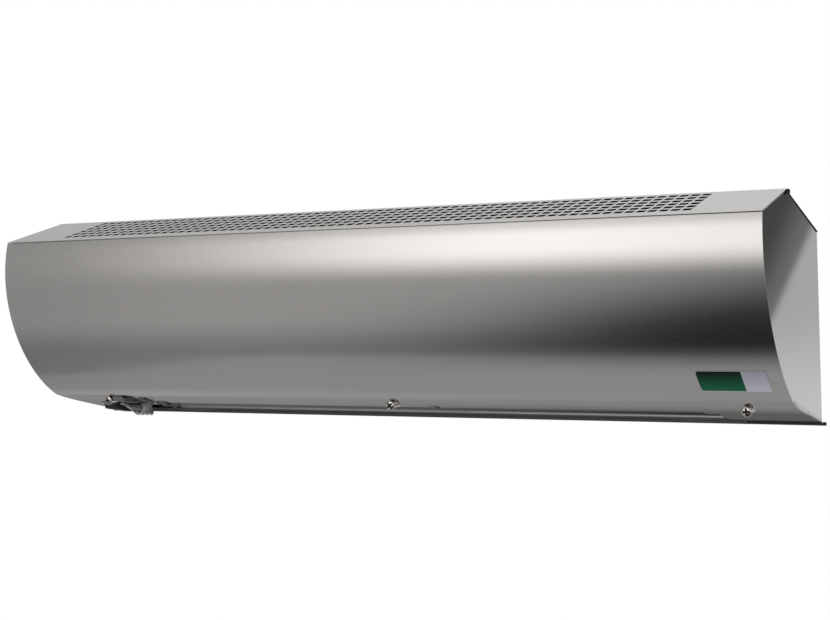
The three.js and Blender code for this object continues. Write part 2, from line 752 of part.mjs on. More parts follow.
addPiece('scroll_housing', scrollHousing(), ZINC_PLATE);
addPiece('outlet_tongue', outletTongue(), ZINC_PLATE);
addPiece('bulkhead_left', bulkhead(BULKHEAD_LEFT, 11), ZINC_PLATE);
addPiece('bulkhead_right', bulkhead(BULKHEAD_RIGHT, 9), ZINC_PLATE);
addPiece('fan_bearing', bearing(), RUBBER);

addPiece('motor_plate', motorPlate(), ZINC_PLATE);
addPiece('motor_housing', motorHousing(), DARK_STEEL);
motorPosts().forEach((centre, index) => {
  addPiece(`motor_post_${index + 1}`, rodAlongX(329.8, 339.7, centre, 2, 10), NICKEL_PLATE);
});
addPiece('motor_capacitor', rodAlongX(340, 384, [-30, 60], 14, 24), IVORY_PLASTIC);

addPiece('fan_drum_left', impeller(-296, 13, true), ALUMINIUM);
addPiece('fan_drum_right', impeller(17, 322, false), ALUMINIUM);
addPiece('fan_coupling', fanCoupling(), RUBBER);
addPiece('fan_shaft_left', rodAlongX(-312, -286, AXIS, SHAFT_RADIUS, 20), DARK_STEEL);
addPiece('motor_shaft', rodAlongX(311, 388, AXIS, SHAFT_RADIUS, 20), DARK_STEEL);

RODS.forEach((centre, index) => {
  addPiece(`heating_rod_${index + 1}`, rodAlongX(-316, 336, centre, ROD_RADIUS, 16), DARK_STEEL);
});
addPiece('rod_support_left', rodSupport(-150), MICA);
addPiece('rod_support_centre', rodSupport(12), MICA);
addPiece('rod_support_right', rodSupport(175), MICA);
addPiece('thermal_cutout', rodAlongX(-313, -304, [-60, 84], 8, 20), BLACK_PLASTIC);

addPiece('outlet_vane', outletVane(), ALUMINIUM);
addPiece('vane_pin_left', vanePin(-1), BLACK_PLASTIC);
addPiece('vane_pin_right', vanePin(1), BLACK_PLASTIC);
addPiece('slot_clip_left', slotClip(-289.6, -281), NICKEL_PLATE);
addPiece('slot_clip_centre', slotClip(36.5, 44.2), NICKEL_PLATE);

addPiece('terminal_block', terminalBlock(), IVORY_PLASTIC);
addPiece('relay_box', relayBox(), BLACK_PLASTIC);
addPiece('earth_stud', rodAlongX(-330, -304, [-20, 160], 2.5, 12), BRONZE);
addPiece('cable_clamp_block', clampBlock(), BLACK_PLASTIC);
addPiece('clamp_lug_left', clampLug(-326.5, -311.5, -101.5, CABLE_FRONT - 1, 5), DARK_STEEL);
addPiece('clamp_lug_right', clampLug(-302, -293, -90, -77, 2.2), DARK_STEEL);
for (let index = 0; index < 4; index += 1) {
  addPiece(`supply_lead_${index + 1}`, lead(leadRoute(index), 1.8), GREY_PVC);
}
addPiece('lead_grommet', leadGrommet(), RUBBER);

addPiece('label_green', label(LABEL_LEFT, LABEL_SPLIT - CLEARANCE / 2), GREEN_FILM);
addPiece('label_silver', label(LABEL_SPLIT + CLEARANCE / 2, LABEL_RIGHT), SILVER_FILM);

export default airCurtain;
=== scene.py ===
"""Studio scene of a wall-mounted air curtain with a brushed steel cover.

The CAD frame is loaded first and never changed. The visible sheet metal, the
screws, the leads and the label are rebuilt here with finer surfaces, and every
other node keeps its own mesh and gets a procedural material.
"""

from __future__ import annotations

import json
import logging
import math
from collections.abc import Iterable, Sequence
from dataclasses import dataclass
from enum import Enum

import bmesh
import bpy
from mathutils import Matrix, Vector

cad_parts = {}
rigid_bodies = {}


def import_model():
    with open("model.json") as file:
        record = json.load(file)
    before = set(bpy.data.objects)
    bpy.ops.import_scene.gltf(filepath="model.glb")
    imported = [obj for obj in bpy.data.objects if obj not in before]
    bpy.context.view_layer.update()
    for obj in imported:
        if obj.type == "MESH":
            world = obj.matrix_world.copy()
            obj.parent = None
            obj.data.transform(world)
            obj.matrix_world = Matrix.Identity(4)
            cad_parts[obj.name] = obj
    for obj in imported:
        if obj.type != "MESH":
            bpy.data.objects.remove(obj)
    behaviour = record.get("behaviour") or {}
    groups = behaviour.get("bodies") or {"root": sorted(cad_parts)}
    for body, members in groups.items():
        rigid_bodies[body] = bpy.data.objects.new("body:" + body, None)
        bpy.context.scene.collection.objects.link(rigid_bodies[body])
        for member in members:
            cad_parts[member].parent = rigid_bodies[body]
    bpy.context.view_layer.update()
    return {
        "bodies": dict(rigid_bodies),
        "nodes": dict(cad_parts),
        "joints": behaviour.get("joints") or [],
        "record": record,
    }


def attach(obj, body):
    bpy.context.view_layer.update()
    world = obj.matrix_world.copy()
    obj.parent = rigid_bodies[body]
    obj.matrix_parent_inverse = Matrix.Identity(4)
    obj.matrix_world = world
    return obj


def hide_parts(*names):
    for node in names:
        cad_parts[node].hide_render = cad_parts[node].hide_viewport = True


LOG = logging.getLogger("air_curtain")

MM = 0.001
CASING = "casing"
END_FACE_NORMAL = 0.7
Point = tuple[float, float]
Triple = tuple[float, float, float]


# ---- section geometry ---------------------------------------------------------


def heading(start: Point, end: Point) -> Point:
    """Returns the unit vector from one point of the section to another.

    Args:
        start: First point, in millimetres.
        end: Second point, in millimetres.

    Returns:
        The direction as (y, z).
    """
    length = math.hypot(end[0] - start[0], end[1] - start[1])
    return ((end[0] - start[0]) / length, (end[1] - start[1]) / length)


def step(start: Point, direction: Point, distance: float) -> Point:
    """Moves a point along a direction.

    Args:
        start: Point to start from.
        direction: Unit direction.
        distance: How far to go, in millimetres.

    Returns:
        The new point.
    """
    return (start[0] + direction[0] * distance, start[1] + direction[1] * distance)


def offset_path(path: Sequence[Point], distance: float, closed: bool = False) -> list[Point]:
    """Offsets a path to its left, with mitred corners.

    Args:
        path: Points of the path.
        distance: Offset to the left of travel, in millimetres.
        closed: Whether the last point joins the first.

    Returns:
        The offset points, one for each point of the path.
    """
    result: list[Point] = []
    count = len(path)
    for i in range(count):
        if closed:
            before = heading(path[i - 1], path[i])
            after = heading(path[i], path[(i + 1) % count])
        else:
            before = heading(path[max(i - 1, 0)], path[max(i, 1)])
            after = heading(path[min(i, count - 2)], path[min(i + 1, count - 1)])
        scale = distance / (1 + before[0] * after[0] + before[1] * after[1])
        result.append((
            path[i][0] - (before[1] + after[1]) * scale,
            path[i][1] + (before[0] + after[0]) * scale,
        ))
    return result


def quarter_turn(steps: int) -> list[float]:
    """Divides a quarter turn.

    Args:
        steps: Number of equal parts.

    Returns:
        The angles from 0 to a quarter turn, in radians.
    """
    return [math.pi / 2 * k / steps for k in range(steps + 1)]


def fillet(path: Sequence[Point], radii: dict[int, float], steps: int) -> list[Point]:
    """Rounds chosen corners of an open path with arcs.

    Args:
        path: Points of the path.
        radii: Corner index to radius, in millimetres.
        steps: Segments in each arc.

    Returns:
        The path with its corners rounded.
    """
    result: list[Point] = []
    for i, corner in enumerate(path):
        if i not in radii or i in (0, len(path) - 1):
            result.append(corner)
            continue
        before = heading(corner, path[i - 1])
        after = heading(corner, path[i + 1])
        cosine = max(-1.0, min(1.0, before[0] * after[0] + before[1] * after[1]))
        half = math.acos(cosine) / 2
        reach = radii[i] / math.tan(half)
        start, end = step(corner, before, reach), step(corner, after, reach)
        for k in range(steps + 1):
            t = k / steps
            a, b, c = (1 - t) ** 2, 2 * t * (1 - t), t * t
            result.append((
                a * start[0] + b * corner[0] + c * end[0],
                a * start[1] + b * corner[1] + c * end[1],
            ))
    return result


@dataclass(frozen=True)
class Section:
    """Cross-section of the casing as (y, z) in millimetres, z from the lower rear edge.

    Attributes:
        half_length: Half the casing's length.
        sheet: Thickness of the sheet.
        top_fold: Fold between the intake panel and the front.
        ridge: Highest edge, behind the intake panel.
        wall_top: Upper rear edge.
        wall_bottom: Lower rear edge.
        rear_fold: Fold between the underside's two bands.
        rear_rise: Height at which the rear band meets the wall.
        front_fold: Fold between the front and the underside.
        slope_top: Direction of the front at the top fold, in degrees.
        slope_bottom: Its direction at the front fold.
        handle: Length of the curve's handles.
        past_fold: Curve parameter at which an end panel's front starts.
    """

    half_length: float = 400.0
    sheet: float = 1.0
    top_fold: Point = (-197.6, 170.2)
    ridge: Point = (-115.0, 200.0)
    wall_top: Point = (0.0, 176.6)
    wall_bottom: Point = (0.0, 0.0)
    rear_fold: Point = (-58.3, 8.4)
    rear_rise: float = 1.6
    front_fold: Point = (-105.2, 15.5)
    slope_top: float = -99.0
    slope_bottom: float = -23.3
    handle: float = 63.6
    past_fold: float = 0.004

    def place(self, x: float, point: Point) -> Vector:
        """Turns a section point into a point of the row frame.

        Args:
            x: Place along the casing, in millimetres.
            point: Section point, in millimetres.

        Returns:
            The point in metres.
        """
        return Vector((x, point[0], point[1] - self.wall_top[1] / 2)) * MM

    def front(self, steps: int, start: float = 0.0) -> list[Point]:
        """Samples the bulging front from the top fold down to the front fold.

        Args:
            steps: Number of segments.
            start: Curve parameter of the first point.

        Returns:
            The points of the curve.
        """
        top, bottom = math.radians(self.slope_top), math.radians(self.slope_bottom)
        p0, p3 = self.top_fold, self.front_fold
        p1 = step(p0, (math.cos(top), math.sin(top)), self.handle)
        p2 = step(p3, (math.cos(bottom), math.sin(bottom)), -self.handle)
        points = []
        for i in range(steps + 1):
            t = start + (1 - start) * i / steps
            a, b, c, d = (1 - t) ** 3, 3 * t * (1 - t) ** 2, 3 * t * t * (1 - t), t ** 3
            points.append(tuple(
                a * p0[k] + b * p1[k] + c * p2[k] + d * p3[k] for k in range(2)
            ))
        return points

    def under_panel(self, distance: float, depth: float) -> Point:
        """Finds a point under the sloping intake panel.

        Args:
            distance: Distance up the slope from the top fold.
            depth: Depth below the panel's outer face.

        Returns:
            The section point.
        """
        slope = heading(self.top_fold, self.ridge)
        return step(step(self.top_fold, slope, distance), (slope[1], -slope[0]), depth)

    def underside(self, y: float) -> float:
        """Gives the height of the outer underside at a depth.

        Args:
            y: Section depth, negative to the front.

        Returns:
            The height, in millimetres.
        """
        if y < self.rear_fold[0]:
            start, end = self.rear_fold, self.front_fold
        else:
            start, end = (0.0, self.rear_rise), self.rear_fold
        return start[1] + (y - start[0]) * (end[1] - start[1]) / (end[0] - start[0])

    def end_outline(self, steps: int, distance: float) -> list[Point]:
        """Builds the outline of an end panel, inset everywhere but at the wall.

        Args:
            steps: Segments in the curved front.
            distance: Inset from the casing's outline, in millimetres.

        Returns:
            The points of the outline, clockwise.
        """
        slope = heading(self.ridge, self.wall_top)
        under = heading(self.rear_fold, self.wall_bottom)
        outline = [
            self.top_fold, self.ridge, step(self.wall_top, slope, distance / slope[0]),
            step(self.wall_bottom, under, distance / under[0]), self.rear_fold,
            *reversed(self.front(steps, self.past_fold)[1:]),
        ]
        return offset_path(outline, -distance, closed=True)


# ---- mesh helpers -------------------------------------------------------------


def link(obj: bpy.types.Object) -> bpy.types.Object:
    """Adds an object to the scene's collection.

    Args:
        obj: Object to add.

    Returns:
        The same object.
    """
    bpy.context.scene.collection.objects.link(obj)
    return obj


def new_object(name: str, mesh: bpy.types.Mesh) -> bpy.types.Object:
    """Makes a linked object from a mesh.

    Args:
        name: Object name.
        mesh: Its mesh.

    Returns:
        The object.
    """
    mesh.name = name
    return link(bpy.data.objects.new(name, mesh))


def make_object(name: str, bm: bmesh.types.BMesh) -> bpy.types.Object:
    """Makes a linked object from a BMesh, with its normals outward.

    Args:
        name: Object name.
        bm: Source, freed here.

    Returns:
        The object.
    """
    bmesh.ops.recalc_face_normals(bm, faces=bm.faces)
    mesh = bpy.data.meshes.new(name)
    bm.to_mesh(mesh)
    bm.free()
    return new_object(name, mesh)


def merge(bm: bmesh.types.BMesh, parts: Iterable[bmesh.types.BMesh]) -> None:
    """Adds parts to a mesh and frees them.

    Args:
        bm: Mesh that takes the parts.
        parts: The parts.
    """
    for part in parts:
        mesh = bpy.data.meshes.new("part")
        part.to_mesh(mesh)
        part.free()
        bm.from_mesh(mesh)
        bpy.data.meshes.remove(mesh)


def loft(rings: Sequence[Sequence[Vector]]) -> bmesh.types.BMesh:
    """Joins rings with the same number of points into a closed body.

    Args:
        rings: Rings of points, in metres.

    Returns:
        The body.
    """
    bm = bmesh.new()
    loops = [[bm.verts.new(point) for point in ring] for ring in rings]
    for low, high in zip(loops, loops[1:]):
        for i in range(len(low)):
            j = (i + 1) % len(low)
            bm.faces.new((low[i], low[j], high[j], high[i]))
    bm.faces.new(loops[0])
    bm.faces.new(reversed(loops[-1]))
    return bm


def extrusion(section: Section, outline: Sequence[Point], x0: float, x1: float,
              cuts: Iterable[float] = ()) -> bmesh.types.BMesh:
    """Extrudes a closed section along X.

    Args:
        section: Frame of the section.
        outline: Closed outline as (y, z), in millimetres.
        x0: Left end.
        x1: Right end.
        cuts: Extra stations between the ends.

    Returns:
        A closed prism.
    """
    return loft([[section.place(x, p) for p in outline] for x in sorted({x0, x1, *cuts})])


def lathe(profile: Sequence[Point], sides: int) -> bmesh.types.BMesh:
    """Turns a profile about +Z, starting and ending on the axis.

    Args:
        profile: Points as (height, radius), in millimetres.
        sides: Number of sides.

    Returns:
        The turned body.
    """
    bm = bmesh.new()
    rings = []
    for height, radius in profile:
        if radius == 0:
            rings.append([bm.verts.new((0, 0, height * MM))])
            continue
        rings.append([
            bm.verts.new((
                radius * MM * math.cos(2 * math.pi * k / sides),
                radius * MM * math.sin(2 * math.pi * k / sides),
                height * MM,
            ))
            for k in range(sides)
        ])
    for low, high in zip(rings, rings[1:]):
        for k in range(sides):
            j = (k + 1) % sides
            corners = [low[k % len(low)], low[j % len(low)], high[j % len(high)],
                       high[k % len(high)]]
            bm.faces.new(list(dict.fromkeys(corners)))
    return bm


def shade(obj: bpy.types.Object, angle: float) -> None:
    """Shades an object smooth, with sharp edges above an angle.

    Args:
        obj: Object whose mesh is marked.
        angle: Largest smooth angle, in degrees.
    """
    bm = bmesh.new()
    bm.from_mesh(obj.data)
    limit = math.radians(angle)
    for face in bm.faces:
        face.smooth = True
    for edge in bm.edges:
        edge.smooth = edge.is_manifold and edge.calc_face_angle(0.0) < limit
    bm.to_mesh(obj.data)
    bm.free()


def apply_modifiers(obj: bpy.types.Object) -> None:
    """Applies every modifier of an object to its mesh.

    Args:
        obj: Object to apply.
    """
    graph = bpy.context.evaluated_depsgraph_get()
    graph.update()
    mesh = bpy.data.meshes.new_from_object(obj.evaluated_get(graph))
    obj.modifiers.clear()
    old = obj.data
    obj.data = mesh
    bpy.data.meshes.remove(old)
    mesh.name = obj.name


def add_bevel(obj: bpy.types.Object, width: float, angle: float) -> None:
    """Adds an edge bevel of two segments.

    Args:
        obj: Object to bevel.
        width: Bevel width, in millimetres.
        angle: Smallest edge angle that is bevelled, in degrees.
    """
    bevel = obj.modifiers.new("Edge bevel", "BEVEL")
    bevel.width = width * MM
    bevel.segments = 2
    bevel.limit_method = "ANGLE"
    bevel.angle_limit = math.radians(angle)
    bevel.harden_normals = False


def cut(obj: bpy.types.Object, cutters: Sequence[bpy.types.Object]) -> None:
    """Subtracts cutters from an object and deletes them.

    Args:
        obj: Object that is cut.
        cutters: Closed cutter objects.
    """
    for cutter in cutters:
        boolean = obj.modifiers.new("Cut", "BOOLEAN")
        boolean.operation = "DIFFERENCE"
        boolean.solver = "EXACT"
        boolean.object = cutter
    apply_modifiers(obj)
    for cutter in cutters:
        bpy.data.objects.remove(cutter, do_unlink=True)


def map_along_x(obj: bpy.types.Object) -> None:
    """Gives an object a UV map whose U axis runs along the casing.

    Args:
        obj: Object to unwrap.
    """
    mesh = obj.data
    layer = mesh.uv_layers.new(name="Grain")
    for face in mesh.polygons:
        upright = abs(face.normal.x) > END_FACE_NORMAL
        for index in face.loop_indices:
            co = mesh.vertices[mesh.loops[index].vertex_index].co
            layer.data[index].uv = (co.y, co.z) if upright else (co.x, co.z - co.y)


def map_upright(obj: bpy.types.Object) -> None:
    """Gives an end panel a UV map whose U axis runs upwards.

    Args:
        obj: Object to unwrap.
    """
    mesh = obj.data
    layer = mesh.uv_layers.new(name="Grain")
    for loop in mesh.loops:
        co = mesh.vertices[loop.vertex_index].co
        layer.data[loop.index].uv = (co.z, co.y + co.x)


def box_object(name: str, low: Sequence[float], high: Sequence[float]) -> bpy.types.Object:
    """Makes a box, used as a cutter.

    Args:
        name: Object name.
        low: Lowest corner, in metres.
        high: Highest corner, in metres.

    Returns:
        The box object.
    """
    bm = bmesh.new()
    bmesh.ops.create_cube(bm, size=1.0)
    size = Vector(high) - Vector(low)
    middle = (Vector(high) + Vector(low)) / 2
    bm.transform(Matrix.Translation(middle) @ Matrix.Diagonal((*size, 1)))
    return make_object(name, bm)


def rounded_rectangle(width: float, depth: float, radius: float, steps: int) -> list[Point]:
    """Builds a rectangle with rounded corners about the origin.

    Args:
        width: Size along the first axis.
        depth: Size along the second axis.
        radius: Corner radius.
        steps: Segments in each corner.

    Returns:
        The outline, anticlockwise.
    """
    points = []
    for quarter, (sx, sy) in enumerate(((1, 1), (-1, 1), (-1, -1), (1, -1))):
        cx, cy = sx * (width / 2 - radius), sy * (depth / 2 - radius)
        for k in range(steps + 1):
            angle = math.pi / 2 * (quarter + k / steps)
            points.append((cx + radius * math.cos(angle), cy + radius * math.sin(angle)))
    return points


def flat_plate(name: str, outlines: Sequence[Sequence[Point]], thickness: float,
               edge: float, matrix: Matrix) -> bpy.types.Object:
    """Makes a flat plate with holes and softened edges from 2-D outlines.

    Args:
        name: Object name.
        outlines: Outer outline first, then the holes, in millimetres.
        thickness: Plate thickness, in millimetres.
        edge: Edge softening, in millimetres.
        matrix: Placement of the plate's middle plane.

    Returns:
        The plate as a mesh object.
    """
    curve = bpy.data.curves.new(name, "CURVE")
    curve.dimensions = "2D"
    curve.fill_mode = "BOTH"
    curve.extrude = (thickness / 2 - edge) * MM
    curve.bevel_depth = edge * MM
    curve.bevel_resolution = 1
    curve.offset = -edge * MM
    for outline in outlines:
        spline = curve.splines.new("POLY")
        spline.points.add(len(outline) - 1)
        spline.use_cyclic_u = True
        for point, (x, y) in zip(spline.points, outline):
            point.co = (x * MM, y * MM, 0, 1)
    source = link(bpy.data.objects.new(name, curve))
    graph = bpy.context.evaluated_depsgraph_get()
    mesh = bpy.data.meshes.new_from_object(source.evaluated_get(graph))
    bpy.data.objects.remove(source, do_unlink=True)
    mesh.transform(matrix)
    return new_object(name, mesh)


# ---- materials ----------------------------------------------------------------


class Finish(Enum):
    """Surface finishes, each a real material and how it was made, but for one near-black colour
    that paints the shade in the screws' cross recesses.
    """

    BRUSHED_STEEL = "Stainless steel, brushed along the length"
    BRUSHED_END = "Stainless steel, brushed upright"
    SHEARED_EDGE = "Stainless steel, sheared edge"
    BLACK_COAT = "Steel, black powder coat"
    ZINC = "Steel, hot-dip zinc coat"
    NICKEL = "Steel, nickel plated"
    ALUMINIUM = "Aluminium, mill finish"
    DARK_STEEL = "Steel, heat oxidised"
    # Near-black colour on the screws' recess walls and floor: painted shade in the cross recess,
    # not a coating.
    RECESS_SHADE = "Painted shade in screw recess"
    BRASS = "Brass, turned"
    BLACK_PLASTIC = "Polyamide, black moulded"
    IVORY_PLASTIC = "Polyamide, ivory moulded"
    RUBBER = "Rubber, black moulded"
    PVC = "PVC sheath, grey extruded"
    MICA = "Mica board, pressed"
    GREEN_FILM = "Polyester film, printed green"
    SILVER_FILM = "Polyester film, metallised"


@dataclass(frozen=True)
class Look:
    """Numbers behind one finish.

    Attributes:
        colour: Base colour as an sRGB hex string.
        metallic: 1 for bare metal, 0 for the rest.
        roughness: Mean roughness.
        spread: Roughness variation either way.
        grain: Size of the surface grain along X, Y and Z, in millimetres.
        depth: Bump height of the grain, in millimetres.
        tint: Brightness variation of the base colour.
        anisotropy: Strength of the brushed highlight.
        ior: Index of refraction of a non-metal.
        gloss: Specular level of a non-metal.
        top: Colour at the label's upper edge, where the film is graded.
    """

    colour: str
    metallic: float
    roughness: float
    spread: float
    grain: tuple[float, float, float]
    depth: float
    tint: float = 0.05
    anisotropy: float = 0.0
    ior: float = 1.5
    gloss: float = 0.5
    top: str = ""


LOOKS: dict[Finish, Look] = {
    Finish.BRUSHED_STEEL: Look("#cac7c4", 1, 0.13, 0.02, (5, 1.5, 1.5), 0.011, 0.03, 0.4),
    Finish.BRUSHED_END: Look("#cac7c4", 1, 0.024, 0.006, (1.5, 1.5, 4), 0.002, 0.03),
    Finish.SHEARED_EDGE: Look("#5f5d5b", 1, 0.5, 0.06, (2, 2, 0.3), 0.01, 0.1),
    Finish.BLACK_COAT: Look("#141516", 0, 0.5, 0.06, (0.6, 0.6, 0.6), 0.02),
    Finish.ZINC: Look("#7f8386", 1, 0.45, 0.08, (6, 6, 6), 0.004, 0.12),
    Finish.NICKEL: Look("#d9d5cd", 1, 0.16, 0.04, (1.2, 1.2, 1.2), 0.004, 0.06),
    Finish.ALUMINIUM: Look("#8b8d8f", 1, 0.3, 0.05, (30, 0.4, 0.4), 0.004, 0.06),
    Finish.DARK_STEEL: Look("#5b5752", 1, 0.45, 0.1, (3, 3, 3), 0.01, 0.2),
    # Near-black colour for the painted shade in the screws' cross recesses.
    Finish.RECESS_SHADE: Look("#0c0c0c", 0, 0.6, 0.08, (0.6, 0.6, 0.6), 0.01),
    Finish.BRASS: Look("#b08a4a", 1, 0.3, 0.05, (0.5, 3, 3), 0.005, 0.08),
    Finish.BLACK_PLASTIC: Look("#1d1e20", 0, 0.45, 0.06, (0.4, 0.4, 0.4), 0.01),
    Finish.IVORY_PLASTIC: Look("#d8d2c0", 0, 0.45, 0.05, (0.5, 0.5, 0.5), 0.008),
    Finish.RUBBER: Look("#191919", 0, 0.75, 0.08, (0.5, 0.5, 0.5), 0.02, ior=1.52),
    Finish.PVC: Look("#a9a6a3", 0, 0.36, 0.05, (1.5, 1.5, 1.5), 0.01, 0.08, ior=1.53),
    Finish.MICA: Look("#8f7b57", 0, 0.55, 0.1, (2.5, 2.5, 2.5), 0.02, 0.25, ior=1.56),
    Finish.GREEN_FILM: Look("#00573a", 0, 0.3, 0.03, (2, 2, 2), 0.001, 0.04, gloss=0.12,
                            top="#020504"),
    Finish.SILVER_FILM: Look("#c9c6d2", 0.5, 0.25, 0.03, (2, 2, 2), 0.001, 0.04, ior=1.45,
                             top="#a7a5b2"),
}


def linear(hex_colour: str) -> tuple[float, float, float, float]:
    """Converts an sRGB hex colour to linear RGBA.

    Args:
        hex_colour: Colour such as "#c9c6c3".

    Returns:
        Linear red, green, blue and alpha.
    """
    channels = []
    for start in (1, 3, 5):
        value = int(hex_colour[start:start + 2], 16) / 255
        low = value <= 0.04045
        channels.append(value / 12.92 if low else ((value + 0.055) / 1.055) ** 2.4)
    return (channels[0], channels[1], channels[2], 1.0)


def add_node(tree: bpy.types.NodeTree, kind: str, settings: dict | None = None,
             inputs: dict | None = None) -> bpy.types.Node:
    """Adds a node, sets it up and links its inputs.

    Args:
        tree: Node tree to add to.
        kind: Node type name.
        settings: Properties of the node.
        inputs: Socket name or index to a value or to an output socket.

    Returns:
        The node.
    """
    node = tree.nodes.new(kind)
    for key, value in (settings or {}).items():
        setattr(node, key, value)
    for key, value in (inputs or {}).items():
        if isinstance(value, bpy.types.NodeSocket):
            tree.links.new(value, node.inputs[key])
        else:
            node.inputs[key].default_value = value
    return node


class Finishes:
    """Builds each finish once, as a node material."""

    GRAIN_RANGE: Point = (0.35, 1.0)
    PATCH_SCALE = 9.0
    PATCH_SHARE = 0.35
    BUMP_STRENGTH = 0.5
    LABEL_Z: Point = (-0.060, -0.046)

    def __init__(self) -> None:
        self._made: dict[Finish, bpy.types.Material] = {}

    def get(self, finish: Finish) -> bpy.types.Material:
        """Returns the material of a finish, building it on first use.

        Args:
            finish: Which finish.

        Returns:
            The material.
        """
        if finish not in self._made:
            self._made[finish] = self._build(finish, LOOKS[finish])
        return self._made[finish]

    def _build(self, finish: Finish, look: Look) -> bpy.types.Material:
        """Builds a principled material with grain in colour, roughness and bump.

        Args:
            finish: Which finish.
            look: Its numbers.

        Returns:
            The material.
        """
        material = bpy.data.materials.new(finish.value)
        material.use_nodes = True
        tree = material.node_tree
        tree.nodes.clear()
        place = add_node(tree, "ShaderNodeTexCoord")
        scale = tuple(1 / (size * MM) for size in look.grain)
        mapping = add_node(tree, "ShaderNodeMapping", {},
                           {"Vector": place.outputs["Object"], "Scale": scale})
        grain = add_node(tree, "ShaderNodeTexNoise", {},
                         {"Vector": mapping.outputs["Vector"], "Scale": 1.0, "Detail": 3.0,
                          "Roughness": 0.6})
        patches = add_node(tree, "ShaderNodeTexNoise", {},
                           {"Vector": place.outputs["Object"], "Scale": self.PATCH_SCALE,
                            "Detail": 2.0})
        blend = add_node(tree, "ShaderNodeMath", {"operation": "MULTIPLY_ADD"},
                         {0: patches.outputs["Fac"], 1: self.PATCH_SHARE,
                          2: grain.outputs["Fac"]})
        colour = linear(look.colour)
        dark = tuple(channel * (1 - look.tint) for channel in colour[:3])
        light = tuple(min(1.0, channel * (1 + look.tint)) for channel in colour[:3])
        ramp = add_node(tree, "ShaderNodeValToRGB", {}, {"Fac": blend.outputs[0]})
        ends = zip(ramp.color_ramp.elements, self.GRAIN_RANGE, (dark, light))
        for element, position, shade_of_base in ends:
            element.position = position
            element.color = (*shade_of_base, 1.0)
        rough = add_node(tree, "ShaderNodeMapRange", {},
                         {"Value": blend.outputs[0], "From Min": self.GRAIN_RANGE[0],
                          "From Max": self.GRAIN_RANGE[1],
                          "To Min": look.roughness - look.spread,
                          "To Max": look.roughness + look.spread})
        bump = add_node(tree, "ShaderNodeBump", {},
                        {"Height": grain.outputs["Fac"], "Strength": self.BUMP_STRENGTH,
                         "Distance": look.depth * MM})
        base = ramp.outputs["Color"]
        if look.top:
            axes = add_node(tree, "ShaderNodeSeparateXYZ", {}, {0: place.outputs["Object"]})
            height = add_node(tree, "ShaderNodeMapRange", {},
                              {"Value": axes.outputs["Z"], "From Min": self.LABEL_Z[0],
                               "From Max": self.LABEL_Z[1]})
            graded = add_node(tree, "ShaderNodeMixRGB", {},
                              {"Fac": height.outputs["Result"], "Color1": base,
                               "Color2": linear(look.top)})
            base = graded.outputs["Color"]
        shader = add_node(tree, "ShaderNodeBsdfPrincipled", {},
                          {"Base Color": base, "Metallic": look.metallic,
                           "Roughness": rough.outputs["Result"], "Normal": bump.outputs["Normal"]})
        if look.metallic < 1:
            shader.inputs["IOR"].default_value = look.ior
            shader.inputs["Specular IOR Level"].default_value = look.gloss
        if look.anisotropy:
            shader.inputs["Anisotropic"].default_value = look.anisotropy
            tangent = add_node(tree, "ShaderNodeTangent",
                               {"direction_type": "UV_MAP", "uv_map": "Grain"})
            tree.links.new(tangent.outputs["Tangent"], shader.inputs["Tangent"])
        output = add_node(tree, "ShaderNodeOutputMaterial", {},
                          {"Surface": shader.outputs["BSDF"]})
        output.is_active_output = True
        return material


CARRIED: dict[Finish, str] = {
    Finish.BLACK_COAT: "back_plate hook_rail",
    Finish.ZINC: "lower_rail scroll_housing outlet_tongue bulkhead_left bulkhead_right "
                 "motor_plate slot_clip_left slot_clip_centre clamp_lug_left clamp_lug_right",
    Finish.RUBBER: "fan_bearing fan_coupling lead_grommet",
    Finish.DARK_STEEL: "motor_housing fan_shaft_left motor_shaft heating_rod_1 "
                       "heating_rod_2 heating_rod_3",
    Finish.NICKEL: "motor_post_1 motor_post_2 motor_post_3",
    Finish.IVORY_PLASTIC: "motor_capacitor terminal_block",
    Finish.ALUMINIUM: "fan_drum_left fan_drum_right outlet_vane",
    Finish.MICA: "rod_support_left rod_support_centre rod_support_right",
    Finish.BLACK_PLASTIC: "thermal_cutout vane_pin_left vane_pin_right relay_box "
                          "cable_clamp_block",
    Finish.BRASS: "earth_stud",
}


# ---- the object's pieces ------------------------------------------------------


@dataclass
class Builder:
    """Shared tools of every sub-assembly.

    Attributes:
        section: Cross-section of the casing.
        finishes: Material library.
    """

    section: Section
    finishes: Finishes

    def finish(self, obj: bpy.types.Object, finish: Finish, slot: str,
               replaced: Sequence[str] = (), body: str = CASING) -> None:
        """Gives a piece its material and body, and hides the CAD nodes it replaces.

        Args:
            obj: The piece.
            finish: Its finish.
            slot: Not used.
            replaced: CAD nodes it stands for.
            body: Body it rides on.
        """
        obj.data.materials.clear()
        obj.data.materials.append(self.finishes.get(finish))
        if replaced:
            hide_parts(*replaced)
        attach(obj, body)
        LOG.info("built %s", obj.name)


